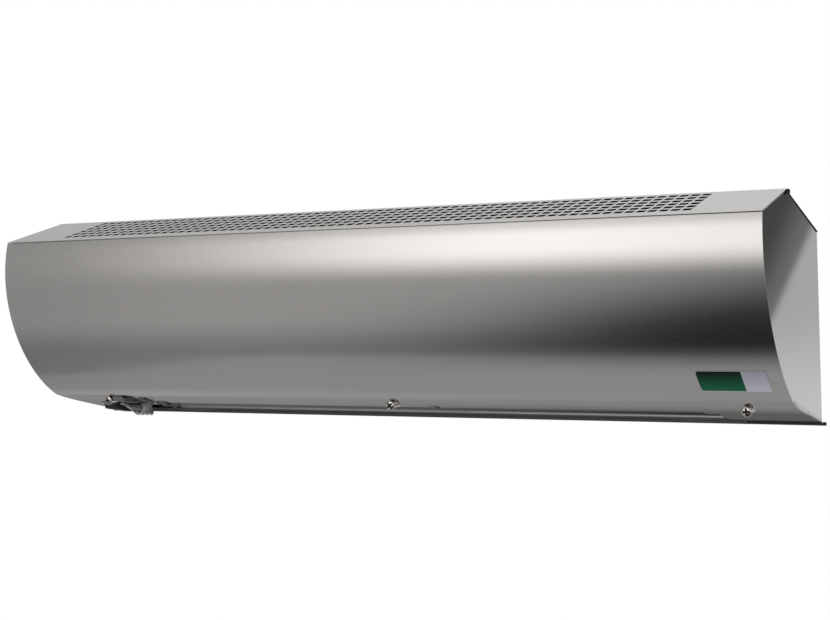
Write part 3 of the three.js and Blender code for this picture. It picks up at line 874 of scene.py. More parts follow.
@dataclass(frozen=True)
class ScrewSizes:
    """Sizes of the cover screws and of the bosses under them, in millimetres.

    Attributes:
        x: Places along the casing.
        face: Section point in the middle of each head's face.
        tilt: How far the heads look down, in degrees.
        turns: How far each recess is turned, in degrees.
        head_radius: Radius of a head.
        head_height: Height of a head.
        dome: Share of the height that is domed.
        crown: Share of the radius that is flat on top.
        rim: Softening of a head's lower edge.
        shank: Radius of a shank.
        length: Length of a shank with its point.
        point: Radius and height of the point.
        recess_floor: Reach, half width and height of the cross at its floor.
        recess_mouth: The same at its mouth.
        boss: Radius of a boss.
        boss_length: Length of a boss.
        boss_edge: Softening of a boss, and its gap under the head.
        skin: Depth of the underside in which a boss ends.
    """

    x: Triple = (-331.7, 9.3, 357.3)
    face: Point = (-103.0, 9.8)
    tilt: float = 8.0
    turns: Triple = (12.0, 40.0, 4.0)
    head_radius: float = 4.6
    head_height: float = 2.3
    dome: float = 0.62
    crown: float = 0.36
    rim: float = 0.15
    shank: float = 2.3
    length: float = 13.0
    point: float = 1.5
    recess_floor: Triple = (2.6, 0.75, -1.9)
    recess_mouth: Triple = (3.5, 1.1, 0.4)
    boss: float = 3.5
    boss_length: float = 16.0
    boss_edge: float = 0.3
    skin: float = 0.9

    def matrix(self, section: Section, x: float) -> Matrix:
        """Places a piece modelled along +Z on a screw's axis.

        Args:
            section: Cross-section of the casing.
            x: Screw place along the casing.

        Returns:
            The placement matrix.
        """
        turn = Matrix.Rotation(math.radians(90 + self.tilt), 4, "X")
        return Matrix.Translation(section.place(x, self.face)) @ turn


@dataclass(frozen=True)
class CoverSizes:
    """Sizes of the front cover, in millimetres.

    Names that end in _x, _y and _z are spans along the casing, in depth and in
    height. The sheet's top flange lies under the intake panel.
    """

    slot_x: Point = (-301.0, 308.0)
    slot_y: Point = (-66.0, -13.0)
    step_x: Point = (307.0, 319.5)
    step_y: Point = (-54.0, -13.0)
    cable_x: Point = (-371.5, -315.5)
    cable_y: Point = (-66.0, -14.0)
    gap_x: Point = (-316.5, -300.0)
    gap_y: Point = (-49.0, -13.0)
    opening_z: Point = (-5.0, 20.0)
    front_steps: int = 60
    front_start: float = 0.013
    top_flange: Point = (17.0, -0.66)
    top_gap: float = 0.2
    top_bend: float = 1.15
    fold_bend: float = 1.8
    band_steps: int = 12
    bow: float = 0.5
    stations: int = 20
    notch_x: Point = (396.0, 401.0)
    notch_along: Point = (0.4, 20.0)
    notch_depth: Point = (1.05, 5.0)
    edge: float = 0.3
    edge_angle: float = 50.0
    upright_normal: float = 0.4
    rear: float = -7.0
    lip: float = 2.2
    hem: float = 1.4
    hem_end: float = 332.0
    overlap: float = 0.5
    lip_half_length: float = 395.0
    flange_start: float = 0.9
    flange_z: Point = (0.3, 4.0)


class FrontCover:
    """One folded sheet: flange under the intake panel, bulging front and underside."""

    def __init__(self, builder: Builder, sizes: CoverSizes, screws: ScrewSizes) -> None:
        self.builder = builder
        self.sizes = sizes
        self.screws = screws
        self.section = builder.section

    def path(self) -> list[Point]:
        """Builds the sheet's outer path from the top flange to its rear edge.

        Returns:
            The points of the path.
        """
        s, z = self.section, self.sizes
        front = s.front(z.front_steps, z.front_start)
        flange = [s.under_panel(along, s.sheet + z.top_gap) for along in z.top_flange]
        head = fillet([*flange, front[0]], {1: z.top_bend}, steps=6)
        tail = fillet([s.front(z.front_steps)[-2], s.front_fold, *self._bowed_band(),
                       (z.rear, s.underside(z.rear))], {1: z.fold_bend}, steps=5)
        return [*head[:-1], *front[:-3], *tail[1:]]

    def _bowed_band(self) -> list[Point]:
        """Samples the first underside band, which bows a little downwards.

        Returns:
            The points from just behind the front fold to the rear fold.
        """
        s, z = self.section, self.sizes
        points = []
        for k in range(2, z.band_steps + 1):
            t = k / z.band_steps
            y = s.front_fold[0] + (s.rear_fold[0] - s.front_fold[0]) * t
            points.append((y, s.underside(y) - 4 * z.bow * t * (1 - t)))
        return points

    def build(self) -> None:
        """Builds the cover."""
        s, z = self.section, self.sizes
        path = self.path()
        sheet = [*path, *reversed(offset_path(path, s.sheet))]
        spacing = 2 * s.half_length / z.stations
        cuts = [spacing * k - s.half_length for k in range(1, z.stations)]
        obj = make_object("cover_sheet",
                          extrusion(s, sheet, -s.half_length, s.half_length, cuts))
        cut(obj, [*self._openings(), *self._notches()])
        self._add_parts(obj)
        add_bevel(obj, z.edge, z.edge_angle)
        apply_modifiers(obj)
        shade(obj, angle=20)
        map_along_x(obj)
        self.builder.finish(obj, Finish.BRUSHED_STEEL, "brushed_steel", ["front_cover"])
        obj.data.materials.append(self.builder.finishes.get(Finish.SHEARED_EDGE))
        for face in obj.data.polygons:
            place = face.center / MM
            if (z.slot_y[0] - s.sheet < place.y < z.rear + s.sheet
                    and abs(face.normal.z) < z.upright_normal
                    and abs(place.x) < z.lip_half_length):
                face.material_index = 1

    def _openings(self) -> list[bpy.types.Object]:
        """Makes the cutters for the outlet slot and the cable opening.

        Returns:
            The cutter objects.
        """
        s, z = self.section, self.sizes
        low, high = z.opening_z
        spans = ((z.slot_x, z.slot_y), (z.step_x, z.step_y), (z.cable_x, z.cable_y),
                 (z.gap_x, z.gap_y))
        return [
            box_object("opening", s.place(across[0], (deep[0], low)),
                       s.place(across[1], (deep[1], high)))
            for across, deep in spans
        ]

    def _notches(self) -> list[bpy.types.Object]:
        """Makes the cutters that clear the top flange's ends for the end panels.

        Returns:
            The cutter objects.
        """
        s, z = self.section, self.sizes
        (near, far), (low, high) = z.notch_along, z.notch_depth
        outline = [s.under_panel(near, low), s.under_panel(far, low),
                   s.under_panel(far, high), s.under_panel(near, high)]
        start, end = z.notch_x
        return [make_object("flange_end", extrusion(s, outline, *ends))
                for ends in ((-end, -start), (start, end))]

    def _add_parts(self, obj: bpy.types.Object) -> None:
        """Joins the rear lips, the end flanges and the screw bosses to the sheet.

        Args:
            obj: The cover object.
        """
        bm = bmesh.new()
        bm.from_mesh(obj.data)
        merge(bm, (*self._flanges(), *self._rear_lips(), *self._bosses()))
        bmesh.ops.recalc_face_normals(bm, faces=bm.faces)
        bm.to_mesh(obj.data)
        bm.free()

    def _rear_lips(self) -> list[bmesh.types.BMesh]:
        """Builds the lip that stands up at the rear edge and the hem that hangs there.

        Returns:
            The lip and the hem.
        """
        s, z = self.section, self.sizes
        base = s.underside(z.rear)
        front = z.rear - s.sheet
        lips = []
        for low, high, right in ((0.0, z.lip, z.lip_half_length),
                                 (-z.hem, z.overlap, z.hem_end)):
            outline = [(front, base + low), (z.rear, base + low), (z.rear, base + high),
                       (front, base + high)]
            lips.append(extrusion(s, outline, -z.lip_half_length, right))
        return lips

    def _flanges(self) -> list[bmesh.types.BMesh]:
        """Builds the narrow flanges folded up at both ends of the underside.

        Returns:
            The flanges.
        """
        s, z = self.section, self.sizes
        low, high = z.flange_z
        spans = [(s.front_fold, s.rear_fold), (s.rear_fold, (z.rear, s.underside(z.rear)))]
        strips = []
        for start, end in spans:
            along = heading(start, end)
            first, last = step(start, along, z.flange_start), step(end, along, -z.overlap)
            rise = (-along[1], along[0])
            outline = [step(first, rise, low), step(last, rise, low), step(last, rise, high),
                       step(first, rise, high)]
            inner = s.half_length - s.sheet
            strips.append(extrusion(s, outline, inner, s.half_length))
            strips.append(extrusion(s, outline, -s.half_length, -inner))
        return strips

    def _bosses(self) -> list[bmesh.types.BMesh]:
        """Builds the pressed bosses under the screw heads.

        Returns:
            The bosses, open inside the sheet.
        """
        s, z = self.section, self.screws
        r, top = z.boss, -z.head_height - z.boss_edge
        profile = [(-z.boss_length, 0), (-z.boss_length, r), (top - z.boss_edge, r),
                   (top, r - z.boss_edge), (top, 0)]
        bosses = []
        for x in z.x:
            bm = lathe(profile, sides=40)
            bm.transform(z.matrix(s, x))
            inner = []
            for face in bm.faces:
                middle = face.calc_center_median() / MM
                if middle.z + s.wall_top[1] / 2 > s.underside(middle.y) + z.skin:
                    inner.append(face)
            bmesh.ops.delete(bm, geom=inner, context="FACES")
            bosses.append(bm)
        return bosses


class CoverScrews:
    """Pan-head screws with a cross recess."""

    FLOOR_MARGIN = 0.05
    DOME_MARGIN = 0.1
    REACH_SHARE = 0.9

    def __init__(self, builder: Builder, sizes: ScrewSizes) -> None:
        self.builder = builder
        self.sizes = sizes

    def build(self) -> None:
        """Builds the three cover screws."""
        for side, x, turn in zip(("left", "centre", "right"), self.sizes.x, self.sizes.turns):
            self._screw(f"cover_screw_{side}", x, turn)

    def _screw(self, node: str, x: float, turn: float) -> None:
        """Builds one screw.

        Args:
            node: CAD node it stands for.
            x: Its place along the casing.
            turn: How far the recess is turned, in degrees.
        """
        z = self.sizes
        r, h = z.head_radius, z.head_height
        tip = -h - z.length
        profile = [(tip, 0), (tip, z.point), (tip + z.point, z.shank), (-h, z.shank),
                   (-h, r - z.rim), (-h + z.rim, r)]
        for angle in quarter_turn(8):
            profile.append((z.dome * h * (math.sin(angle) - 1),
                            r * (z.crown + (1 - z.crown) * math.cos(angle))))
        obj = make_object(f"{node}_pan_head", lathe([*profile, (0, 0)], sides=48))
        cross = loft([self._cross(*z.recess_floor, turn), self._cross(*z.recess_mouth, turn)])
        cut(obj, [make_object("recess", cross)])
        shade(obj, angle=35)
        recess = [face.index for face in obj.data.polygons if self._in_recess(face.center)]
        obj.data.transform(z.matrix(self.builder.section, x))
        obj.visible_glossy = False
        self.builder.finish(obj, Finish.NICKEL, "nickel_plate", [node])
        # The recess's walls and floor get the near-black colour: painted shade in the cross
        # recess.
        obj.data.materials.append(self.builder.finishes.get(Finish.RECESS_SHADE))
        for index in recess:
            obj.data.polygons[index].material_index = 1

    def _cross(self, reach: float, half: float, height: float, turn: float) -> list[Vector]:
        """Draws a cross in a plane across the screw's axis.

        Args:
            reach: Length of each arm, in millimetres.
            half: Half the width of each arm.
            height: Height of the plane.
            turn: How far the cross is turned, in degrees.

        Returns:
            Its twelve corners, in metres.
        """
        corners = []
        for k in range(4):
            spin = Matrix.Rotation(math.radians(turn + 90 * k), 3, "Z")
            for x, y in ((reach, -half), (reach, half), (half, half)):
                corners.append(spin @ Vector((x, y, height)) * MM)
        return corners

    def _in_recess(self, centre: Vector) -> bool:
        """Tells whether a face of the head lies inside the cross recess.

        Args:
            centre: Centre of the face in the screw's own frame, in metres.

        Returns:
            True for the recess's walls and floor.
        """
        z = self.sizes
        place = centre / MM
        out = math.hypot(place.x, place.y) / z.head_radius
        turn = math.acos(min(1.0, max(0.0, (out - z.crown) / (1 - z.crown))))
        dome = -z.dome * z.head_height * (1 - math.sin(turn))
        return (self.FLOOR_MARGIN - z.head_height < place.z < dome - self.DOME_MARGIN
                and out < self.REACH_SHARE)


@dataclass(frozen=True)
class PanelSizes:
    """Sizes of the perforated intake panel, in millimetres."""

    columns: int = 66
    rows: int = 6
    pitch_x: float = 10.22
    pitch_slope: float = 12.05
    hole_width: float = 7.9
    hole_depth: float = 9.0
    hole_radius: float = 1.6
    first_row: float = 17.2
    edge: float = 0.12


class IntakePanel:
    """Flat sloping panel with straight columns of rounded slots."""

    def __init__(self, builder: Builder, sizes: PanelSizes) -> None:
        self.builder = builder
        self.sizes = sizes

    def build(self) -> None:
        """Builds the panel."""
        s, z = self.builder.section, self.sizes
        length = math.dist(s.top_fold, s.ridge)
        half = s.half_length
        outlines = [[(-half, 0), (half, 0), (half, length), (-half, length)]]
        shape = rounded_rectangle(z.hole_width, z.hole_depth, z.hole_radius, steps=3)
        for column in range(z.columns):
            for row in range(z.rows):
                x = (column - (z.columns - 1) / 2) * z.pitch_x
                y = z.first_row + row * z.pitch_slope
                outlines.append([(x + px, y + py) for px, py in shape])
        slope = heading(s.top_fold, s.ridge)
        turn = Matrix.Rotation(math.atan2(slope[1], slope[0]), 4, "X")
        middle = s.under_panel(0, s.sheet / 2)
        matrix = Matrix.Translation(s.place(0, middle)) @ turn
        obj = flat_plate("intake_sheet", outlines, s.sheet, z.edge, matrix)
        shade(obj, angle=25)
        map_along_x(obj)
        self.builder.finish(obj, Finish.BRUSHED_STEEL, "brushed_steel", ["intake_panel"])


@dataclass(frozen=True)
class EndSizes:
    """Sizes of the end panels, in millimetres.

    Attributes:
        inset: How far the face lies behind the cover's end.
        depth: Depth of the rim.
        bend: Radius of the bend between face and rim.
        land: Flat strip between the bend and the face.
        gap: Gap between the rim and the cover.
        skirt: Section of the rim's open sides.
        margins: Gaps of the skirt's cutter beyond the rim and behind the face.
        notch_along: Span of the rail's notch up the intake slope.
        notch_depth: Span of the notch below the slope's face.
        rail: How far the notch reaches past the ridge, and below the top.
        overcut: How far the notch's cutter reaches past the casing.
    """

    inset: float = 1.6
    depth: float = 11.0
    bend: float = 0.8
    land: float = 0.15
    gap: float = 0.5
    skirt: tuple[Point, ...] = ((-92, -2), (2, -2), (2, 190), (-8, 190), (-8, 21), (-92, 21))
    margins: Point = (1.0, 0.05)
    notch_along: Point = (82.0, 89.0)
    notch_depth: Point = (-1.0, 6.0)
    rail: Point = (6.4, 4.2)
    overcut: float = 5.0


class EndPanel:
    """Tray-shaped end panel with a bent rim."""

    def __init__(self, builder: Builder, sizes: EndSizes, side: int) -> None:
        self.builder = builder
        self.sizes = sizes
        self.side = side
        self.face = builder.section.half_length - sizes.inset

    def build(self) -> None:
        """Builds one end panel."""
        s, z = self.builder.section, self.sizes
        name = "right" if self.side > 0 else "left"
        rim = s.sheet + z.gap
        rings = [(self.face - s.sheet, rim + s.sheet), (self.face - z.depth, rim + s.sheet),
                 (self.face - z.depth, rim)]
        for angle in quarter_turn(4):
            rings.append((self.face - z.bend * (1 - math.sin(angle)),
                          rim + z.bend * (1 - math.cos(angle))))
        rings.append((self.face, rim + z.bend + z.land))
        outline = s.end_outline(steps=48, distance=rim)
        loops = []
        for x, inset in rings:
            points = offset_path(outline, rim - inset, closed=True) if inset > rim else outline
            loops.append([s.place(self.side * x, p) for p in points])
        obj = make_object(f"end_sheet_{name}", loft(loops))
        cut(obj, self._cutters())
        shade(obj, angle=30)
        map_upright(obj)
        self.builder.finish(obj, Finish.BRUSHED_END, "brushed_steel", [f"end_panel_{name}"])

    def _cutters(self) -> list[bpy.types.Object]:
        """Makes the cutters for the skirt's open sides and the hanging rail's notch.

        Returns:
            The cutter objects.
        """
        s, z = self.builder.section, self.sizes
        inner = sorted((self.side * (self.face - z.depth - z.margins[0]),
                        self.side * (self.face - s.sheet - z.margins[1])))
        whole = (-s.half_length - z.overcut, s.half_length + z.overcut)
        slope = heading(s.ridge, s.wall_top)
        inward = (slope[1], -slope[0])
        end = step(s.ridge, slope, z.rail[0])
        (near, far), (low, high) = z.notch_along, z.notch_depth
        notch = [s.under_panel(far, low), end, step(end, inward, z.rail[1]),
                 step(s.ridge, inward, z.rail[1]), s.under_panel(near, high),
                 s.under_panel(near, low)]
        return [make_object("skirt_cut", extrusion(s, outline, *ends))
                for outline, ends in ((z.skirt, inner), (notch, whole))]


class OutletEnd:
    """Fixed web beyond the vane's left end, and the tab in front of it."""

    WEB_X: Point = (-312.0, -289.4)
    WEB: tuple[Point, ...] = ((-34.4, 10.2), (-33.0, 6.7), (-33.0, 5.6), (-32.4, 5.6),
                              (-32.4, 7.2), (-13.0, 7.2), (-12.4, 4.0), (-11.6, 4.0),
                              (-11.6, 10.2))
    TAB_X: Point = (-315.0, -301.5)
    TAB: tuple[Point, ...] = ((-66.0, 4.6), (-65.0, 4.6), (-65.0, 10.4), (-66.0, 10.4))

    def __init__(self, builder: Builder) -> None:
        self.builder = builder

    def build(self) -> None:
        """Builds the web with its tab."""
        bm = extrusion(self.builder.section, self.WEB, *self.WEB_X)
        merge(bm, [extrusion(self.builder.section, self.TAB, *self.TAB_X)])
        obj = make_object("outlet_end_web", bm)
        shade(obj, angle=20)
        self.builder.finish(obj, Finish.ZINC, "zinc_plate")


@dataclass(frozen=True)
class LeadSizes:
    """Route and size of the supply leads, in millimetres.

    Attributes:
        count: Number of leads.
        first_y: Depth of the first lead.
        pitch: Step in depth from lead to lead.
        shift: Step along the casing from lead to lead.
        radius: Radius of a lead.
        core: Radius of a core, as a share of the lead's.
        spread: Distance of a core from the lead's middle, as a share of its radius.
        twist: Turn of the cores between two points of the route, in radians.
        sides: Sides of a core.
        steps: Segments between two stations.
        stations: Place along the casing, share of the shift, depth behind the
            lead's own and height of each station.
    """

    count: int = 4
    first_y: float = -50.5
    pitch: float = 4.7
    shift: float = 2.6
    radius: float = 1.8
    core: float = 0.56
    spread: float = 0.42
    twist: float = 0.16
    sides: int = 10
    steps: int = 12
    stations: tuple[tuple[float, float, float, float], ...] = (
        (-354.7, 0, 0, 8), (-348.5, 0.5, 0, 6.6), (-340, 1, 0, 2.2), (-333, 1, 0, -2),
        (-328, 0.7, 0.8, -2.6), (-324.2, -0.2, 2.5, 2.2), (-323.2, -0.5, 3.5, 10),
        (-323.2, -0.5, 3.5, 27.2),
    )


class SupplyLeads:
    """Sheathed leads that loop out of the clamp and back into the casing."""

    def __init__(self, builder: Builder, sizes: LeadSizes) -> None:
        self.builder = builder
        self.sizes = sizes

    def build(self) -> None:
        """Builds each lead as a twisted pair of sheathed cores."""
        for index in range(self.sizes.count):
            node = f"supply_lead_{index + 1}"
            centre = smooth_route(self.route(index), self.sizes.steps)
            bm = self._core(centre, 0)
            merge(bm, [self._core(centre, 1)])
            obj = make_object(f"{node}_cores", bm)
            shade(obj, angle=60)
            self.builder.finish(obj, Finish.PVC, "grey_pvc", [node])

    def route(self, index: int) -> list[Vector]:
        """Gives one lead's route.

        Args:
            index: Which lead, from the front.

        Returns:
            Points of the route, in metres.
        """
        z = self.sizes
        y = z.first_y + index * z.pitch
        return [
            self.builder.section.place(x + share * index * z.shift, (y + behind, height))
            for x, share, behind, height in z.stations
        ]

    def _core(self, centre: list[Vector], core: int) -> bmesh.types.BMesh:
        """Sweeps one round core along the route, winding round its middle.

        Args:
            centre: Smooth points of the route.
            core: Which core of the pair.

        Returns:
            The core.
        """
        z = self.sizes
        radius, reach = z.radius * z.core * MM, z.radius * z.spread * MM
        rings = []
        normal = Vector((0, 0, 1))
        for i, point in enumerate(centre):
            tangent = centre[min(i + 1, len(centre) - 1)] - centre[max(i - 1, 0)]
            tangent.normalize()
            normal = (normal - tangent * normal.dot(tangent)).normalized()
            side = tangent.cross(normal)
            phase = core * math.pi + i * z.twist
            middle = point + (normal * math.cos(phase) + side * math.sin(phase)) * reach
            ring = []
            for k in range(z.sides):
                angle = 2 * math.pi * k / z.sides
                ring.append(middle + (normal * math.cos(angle)
                                      + side * math.sin(angle)) * radius)
            rings.append(ring)
        return loft(rings)


def smooth_route(points: Sequence[Vector], steps: int) -> list[Vector]:
    """Draws a Catmull-Rom curve through points.

    Args:
        points: Points that the curve passes.
        steps: Segments between two points.

    Returns:
        Points of the curve.
    """
    result = []
    padded = [points[0] * 2 - points[1], *points, points[-1] * 2 - points[-2]]
    for i in range(len(points) - 1):
        p0, p1, p2, p3 = padded[i:i + 4]
        for k in range(steps):
            t = k / steps
            result.append(0.5 * (
                2 * p1 + (p2 - p0) * t + (2 * p0 - 5 * p1 + 4 * p2 - p3) * t * t
                + (3 * p1 - p0 - 3 * p2 + p3) * t * t * t
            ))
    result.append(points[-1].copy())
    return result


@dataclass(frozen=True)
class LabelSizes:
    """Sizes of the two-tone label on the front, in millimetres.

    Attributes:
        left: Left edge.
        split: Where the two fields meet.
        right: Right edge.
        bottom: Lower edge.
        top: Upper edge.
        lift: Height of the fields above the front.
        drop: How far the border's face lies below the fields.
        film: Thickness of the film.
        corner: Corner radius.
        border: Width of the border.
        rows: Segments from top to bottom.
        samples: Segments of the front curve that the label follows.
    """

    left: float = 325.8
    split: float = 365.2
    right: float = 387.0
    bottom: float = 26.8
    top: float = 43.0
    lift: float = 0.45
    drop: float = 0.08
    film: float = 0.18
    corner: float = 1.8
    border: float = 0.4
    rows: int = 12
    samples: int = 400


class FrontLabel:
    """Plain two-tone film on the front, with a thin bright border."""

    def __init__(self, builder: Builder, sizes: LabelSizes) -> None:
        self.builder = builder
        self.sizes = sizes

    def surface(self, low: float, high: float) -> list[Point]:
        """Samples the front curve between two heights.

        Args:
            low: Lower height, in millimetres.
            high: Upper height.

        Returns:
            Evenly spaced points of the section from top to bottom.
        """
        rows = self.sizes.rows
        curve = self.builder.section.front(self.sizes.samples)
        points = []
        for k in range(rows + 1):
            height = high + (low - high) * k / rows
            index = next(i for i, p in enumerate(curve) if p[1] < height)
            (y0, z0), (y1, z1) = curve[index - 1], curve[index]
            points.append((y0 + (y1 - y0) * (z0 - height) / (z0 - z1), height))
        return points

    def build(self) -> None:
        """Builds both fields of the film and its border."""
        z, builder = self.sizes, self.builder
        left, right = z.left + z.border, z.right - z.border
        green = self._film("label_film_green", left, z.split, z.border, z.lift, (True, False))
        silver = self._film("label_film_silver", z.split, right, z.border, z.lift,
                            (False, True))
        border = self._film("label_border", z.left, z.right, 0.0, z.lift - z.drop,
                            (True, True))
        builder.finish(green, Finish.GREEN_FILM, "green_film", ["label_green"])
        builder.finish(silver, Finish.SILVER_FILM, "silver_film", ["label_silver"])
        builder.finish(border, Finish.SILVER_FILM, "silver_film")

    def _film(self, name: str, x0: float, x1: float, inset: float, lift: float,
              rounded: tuple[bool, bool]) -> bpy.types.Object:
        """Builds a film patch that follows the curved front.

        Args:
            name: Object name.
            x0: Left edge.
            x1: Right edge.
            inset: Distance taken off the upper and lower edges.
            lift: Height of its face above the front.
            rounded: Whether the left and right corners are rounded.

        Returns:
            The patch.
        """
        s, z = self.builder.section, self.sizes
        corner = [(z.corner * (1 - math.cos(angle)), z.corner * (1 - math.sin(angle)))
                  for angle in quarter_turn(6)]
        left = corner if rounded[0] else [(0.0, 0.0)]
        right = corner if rounded[1] else [(0.0, 0.0)]
        stations = [(x0 + along, cut_in) for along, cut_in in left]
        stations += [(x1 - along, cut_in) for along, cut_in in reversed(right)]
        rings = []
        for x, cut_in in stations:
            path = offset_path(self.surface(z.bottom + inset + cut_in,
                                            z.top - inset - cut_in), -lift)
            back = offset_path(path, z.film)
            rings.append([s.place(x, p) for p in (*path, *reversed(back))])
        obj = make_object(name, loft(rings))
        shade(obj, angle=30)
        return obj


class CarriedNodes:
    """CAD nodes that keep their own mesh and get a finish."""

    EDGE = 0.25
    EDGE_ANGLE = 40.0

    def __init__(self, frame: dict, finishes: Finishes) -> None:
        self.frame = frame
        self.finishes = finishes

    def dress(self) -> None:
        """Gives each carried node its material and a fine edge bevel."""
        for finish, names in CARRIED.items():
            material = self.finishes.get(finish)
            for name in names.split():
                obj = self.frame["nodes"][name]
                if not obj.material_slots:
                    obj.data.materials.append(material)
                for slot in obj.material_slots:
                    slot.material = material
                add_bevel(obj, self.EDGE, self.EDGE_ANGLE)
            LOG.info("dressed %s", names)


# ---- studio -------------------------------------------------------------------


@dataclass(frozen=True)
class CameraSetup:
    """The photograph's viewpoint, solved from the casing's corners."""

    place: Triple = (0.72241, -1.41933, -0.09226)
    yaw: float = 27.7402
    pitch: float = 10.9395
    roll: float = 1.30894
    focal_px: float = 1530.94
    centre_px: Point = (415.0, 124.87)
    image: tuple[int, int] = (830, 620)
    sensor: float = 36.0
    clip: Point = (0.01, 60.0)

    def build(self) -> None:
        """Makes the camera and sets it as the scene's."""
        data = bpy.data.cameras.new("Camera")
        data.sensor_fit = "HORIZONTAL"
        data.sensor_width = self.sensor
        width, height = self.image
        data.lens = self.focal_px * self.sensor / width
        data.shift_x = (width / 2 - self.centre_px[0]) / width
        data.shift_y = (self.centre_px[1] - height / 2) / width
        data.clip_start, data.clip_end = self.clip
        camera = link(bpy.data.objects.new("Camera", data))
        camera.location = self.place
        turn = (Matrix.Rotation(math.radians(self.yaw), 3, "Z")
                @ Matrix.Rotation(math.radians(90 + self.pitch), 3, "X")
                @ Matrix.Rotation(math.radians(self.roll), 3, "Z"))
        camera.rotation_euler = turn.to_euler()
        bpy.context.scene.camera = camera
        LOG.info("camera placed")


@dataclass(frozen=True)
class Ramp:
    """Smooth change of brightness as a measure goes from a start to an end."""

    start: float
    end: float
    low: float
    high: float


class Tones:
    """Ramps that make up the studio's brightness.

    The angle called climb is 0 towards the viewer's side, +90 straight up, -90
    straight down, and passes on to +-180 behind the part. Ramps under "over
    climb" are in degrees of it. Those under "over x", "over y" and "over z" go by
    the direction's share along that axis.
    """

    # The room in front of the part, over climb, then its dark corner over x.
    ROOM_LOW = Ramp(-138, -116, 0.52, 0.372)
    ROOM_HIGH = Ramp(-78, -50, 0.8, 1.26)
    CORNER_LIFT = Ramp(-0.675, -0.545, 0.42, 0.0)
    CORNER = Ramp(-1.45, -1.36, 1.36, 1.0)
    CORNER_EDGE = Ramp(-0.67, -0.59, 0.82, 1.0)

    # The dark flag: over the slant (climb in radians and a share of x), climb and x.
    FLAG_SLOPE = -2.09
    FLAG = Ramp(0.53, -0.42, 0.0, 0.92)
    FLAG_CLIMB = Ramp(-98, -70, 0.0, 1.0)
    FLAG_EDGE = Ramp(-0.56, -0.29, 0.0, 1.0)

    # The window: its lower and upper edge over climb, its ends over x.
    WINDOW_FOOT = Ramp(-25, 1, 0.0, 1.18)
    WINDOW_HEAD = Ramp(12, 24, 1.0, 0.45)
    WINDOW_LEFT = Ramp(-0.665, -0.41, 0.0, 1.0)
    WINDOW_RIGHT = Ramp(-0.40, -0.24, 1.0, 0.8)

    # What the end panel sees: a light and a dark field that meet on a slant.
    SIDE_SLOPE = 2.15
    SIDE_SPLIT = Ramp(0.600, 0.613, 0.0, 1.0)
    SIDE_LIGHT = Ramp(0.01, 0.08, 0.75, 0.54)
    SIDE_DARK = Ramp(0.61, 0.66, 0.20, 0.08)
    SIDE_SHARE = Ramp(0.02, 0.10, 0.0, 1.0)

    # Below and behind the part, then above it, over x.
    SHADOW = Ramp(-0.55, -0.34, 0.24, 0.08)
    UNDER = 0.31
    UNDER_SHARE = Ramp(-170, -156, 1.0, 0.0)
    BEHIND = 0.85
    BEHIND_SHARE = Ramp(-0.05, 0.03, 0.0, 1.0)
    ABOVE = Ramp(-0.66, -0.22, 0.56, 0.76)
    ABOVE_SHARE = Ramp(0.2, 0.36, 0.0, 1.0)
    REAR_SHARE = Ramp(0.45, 0.68, 0.0, 1.0)


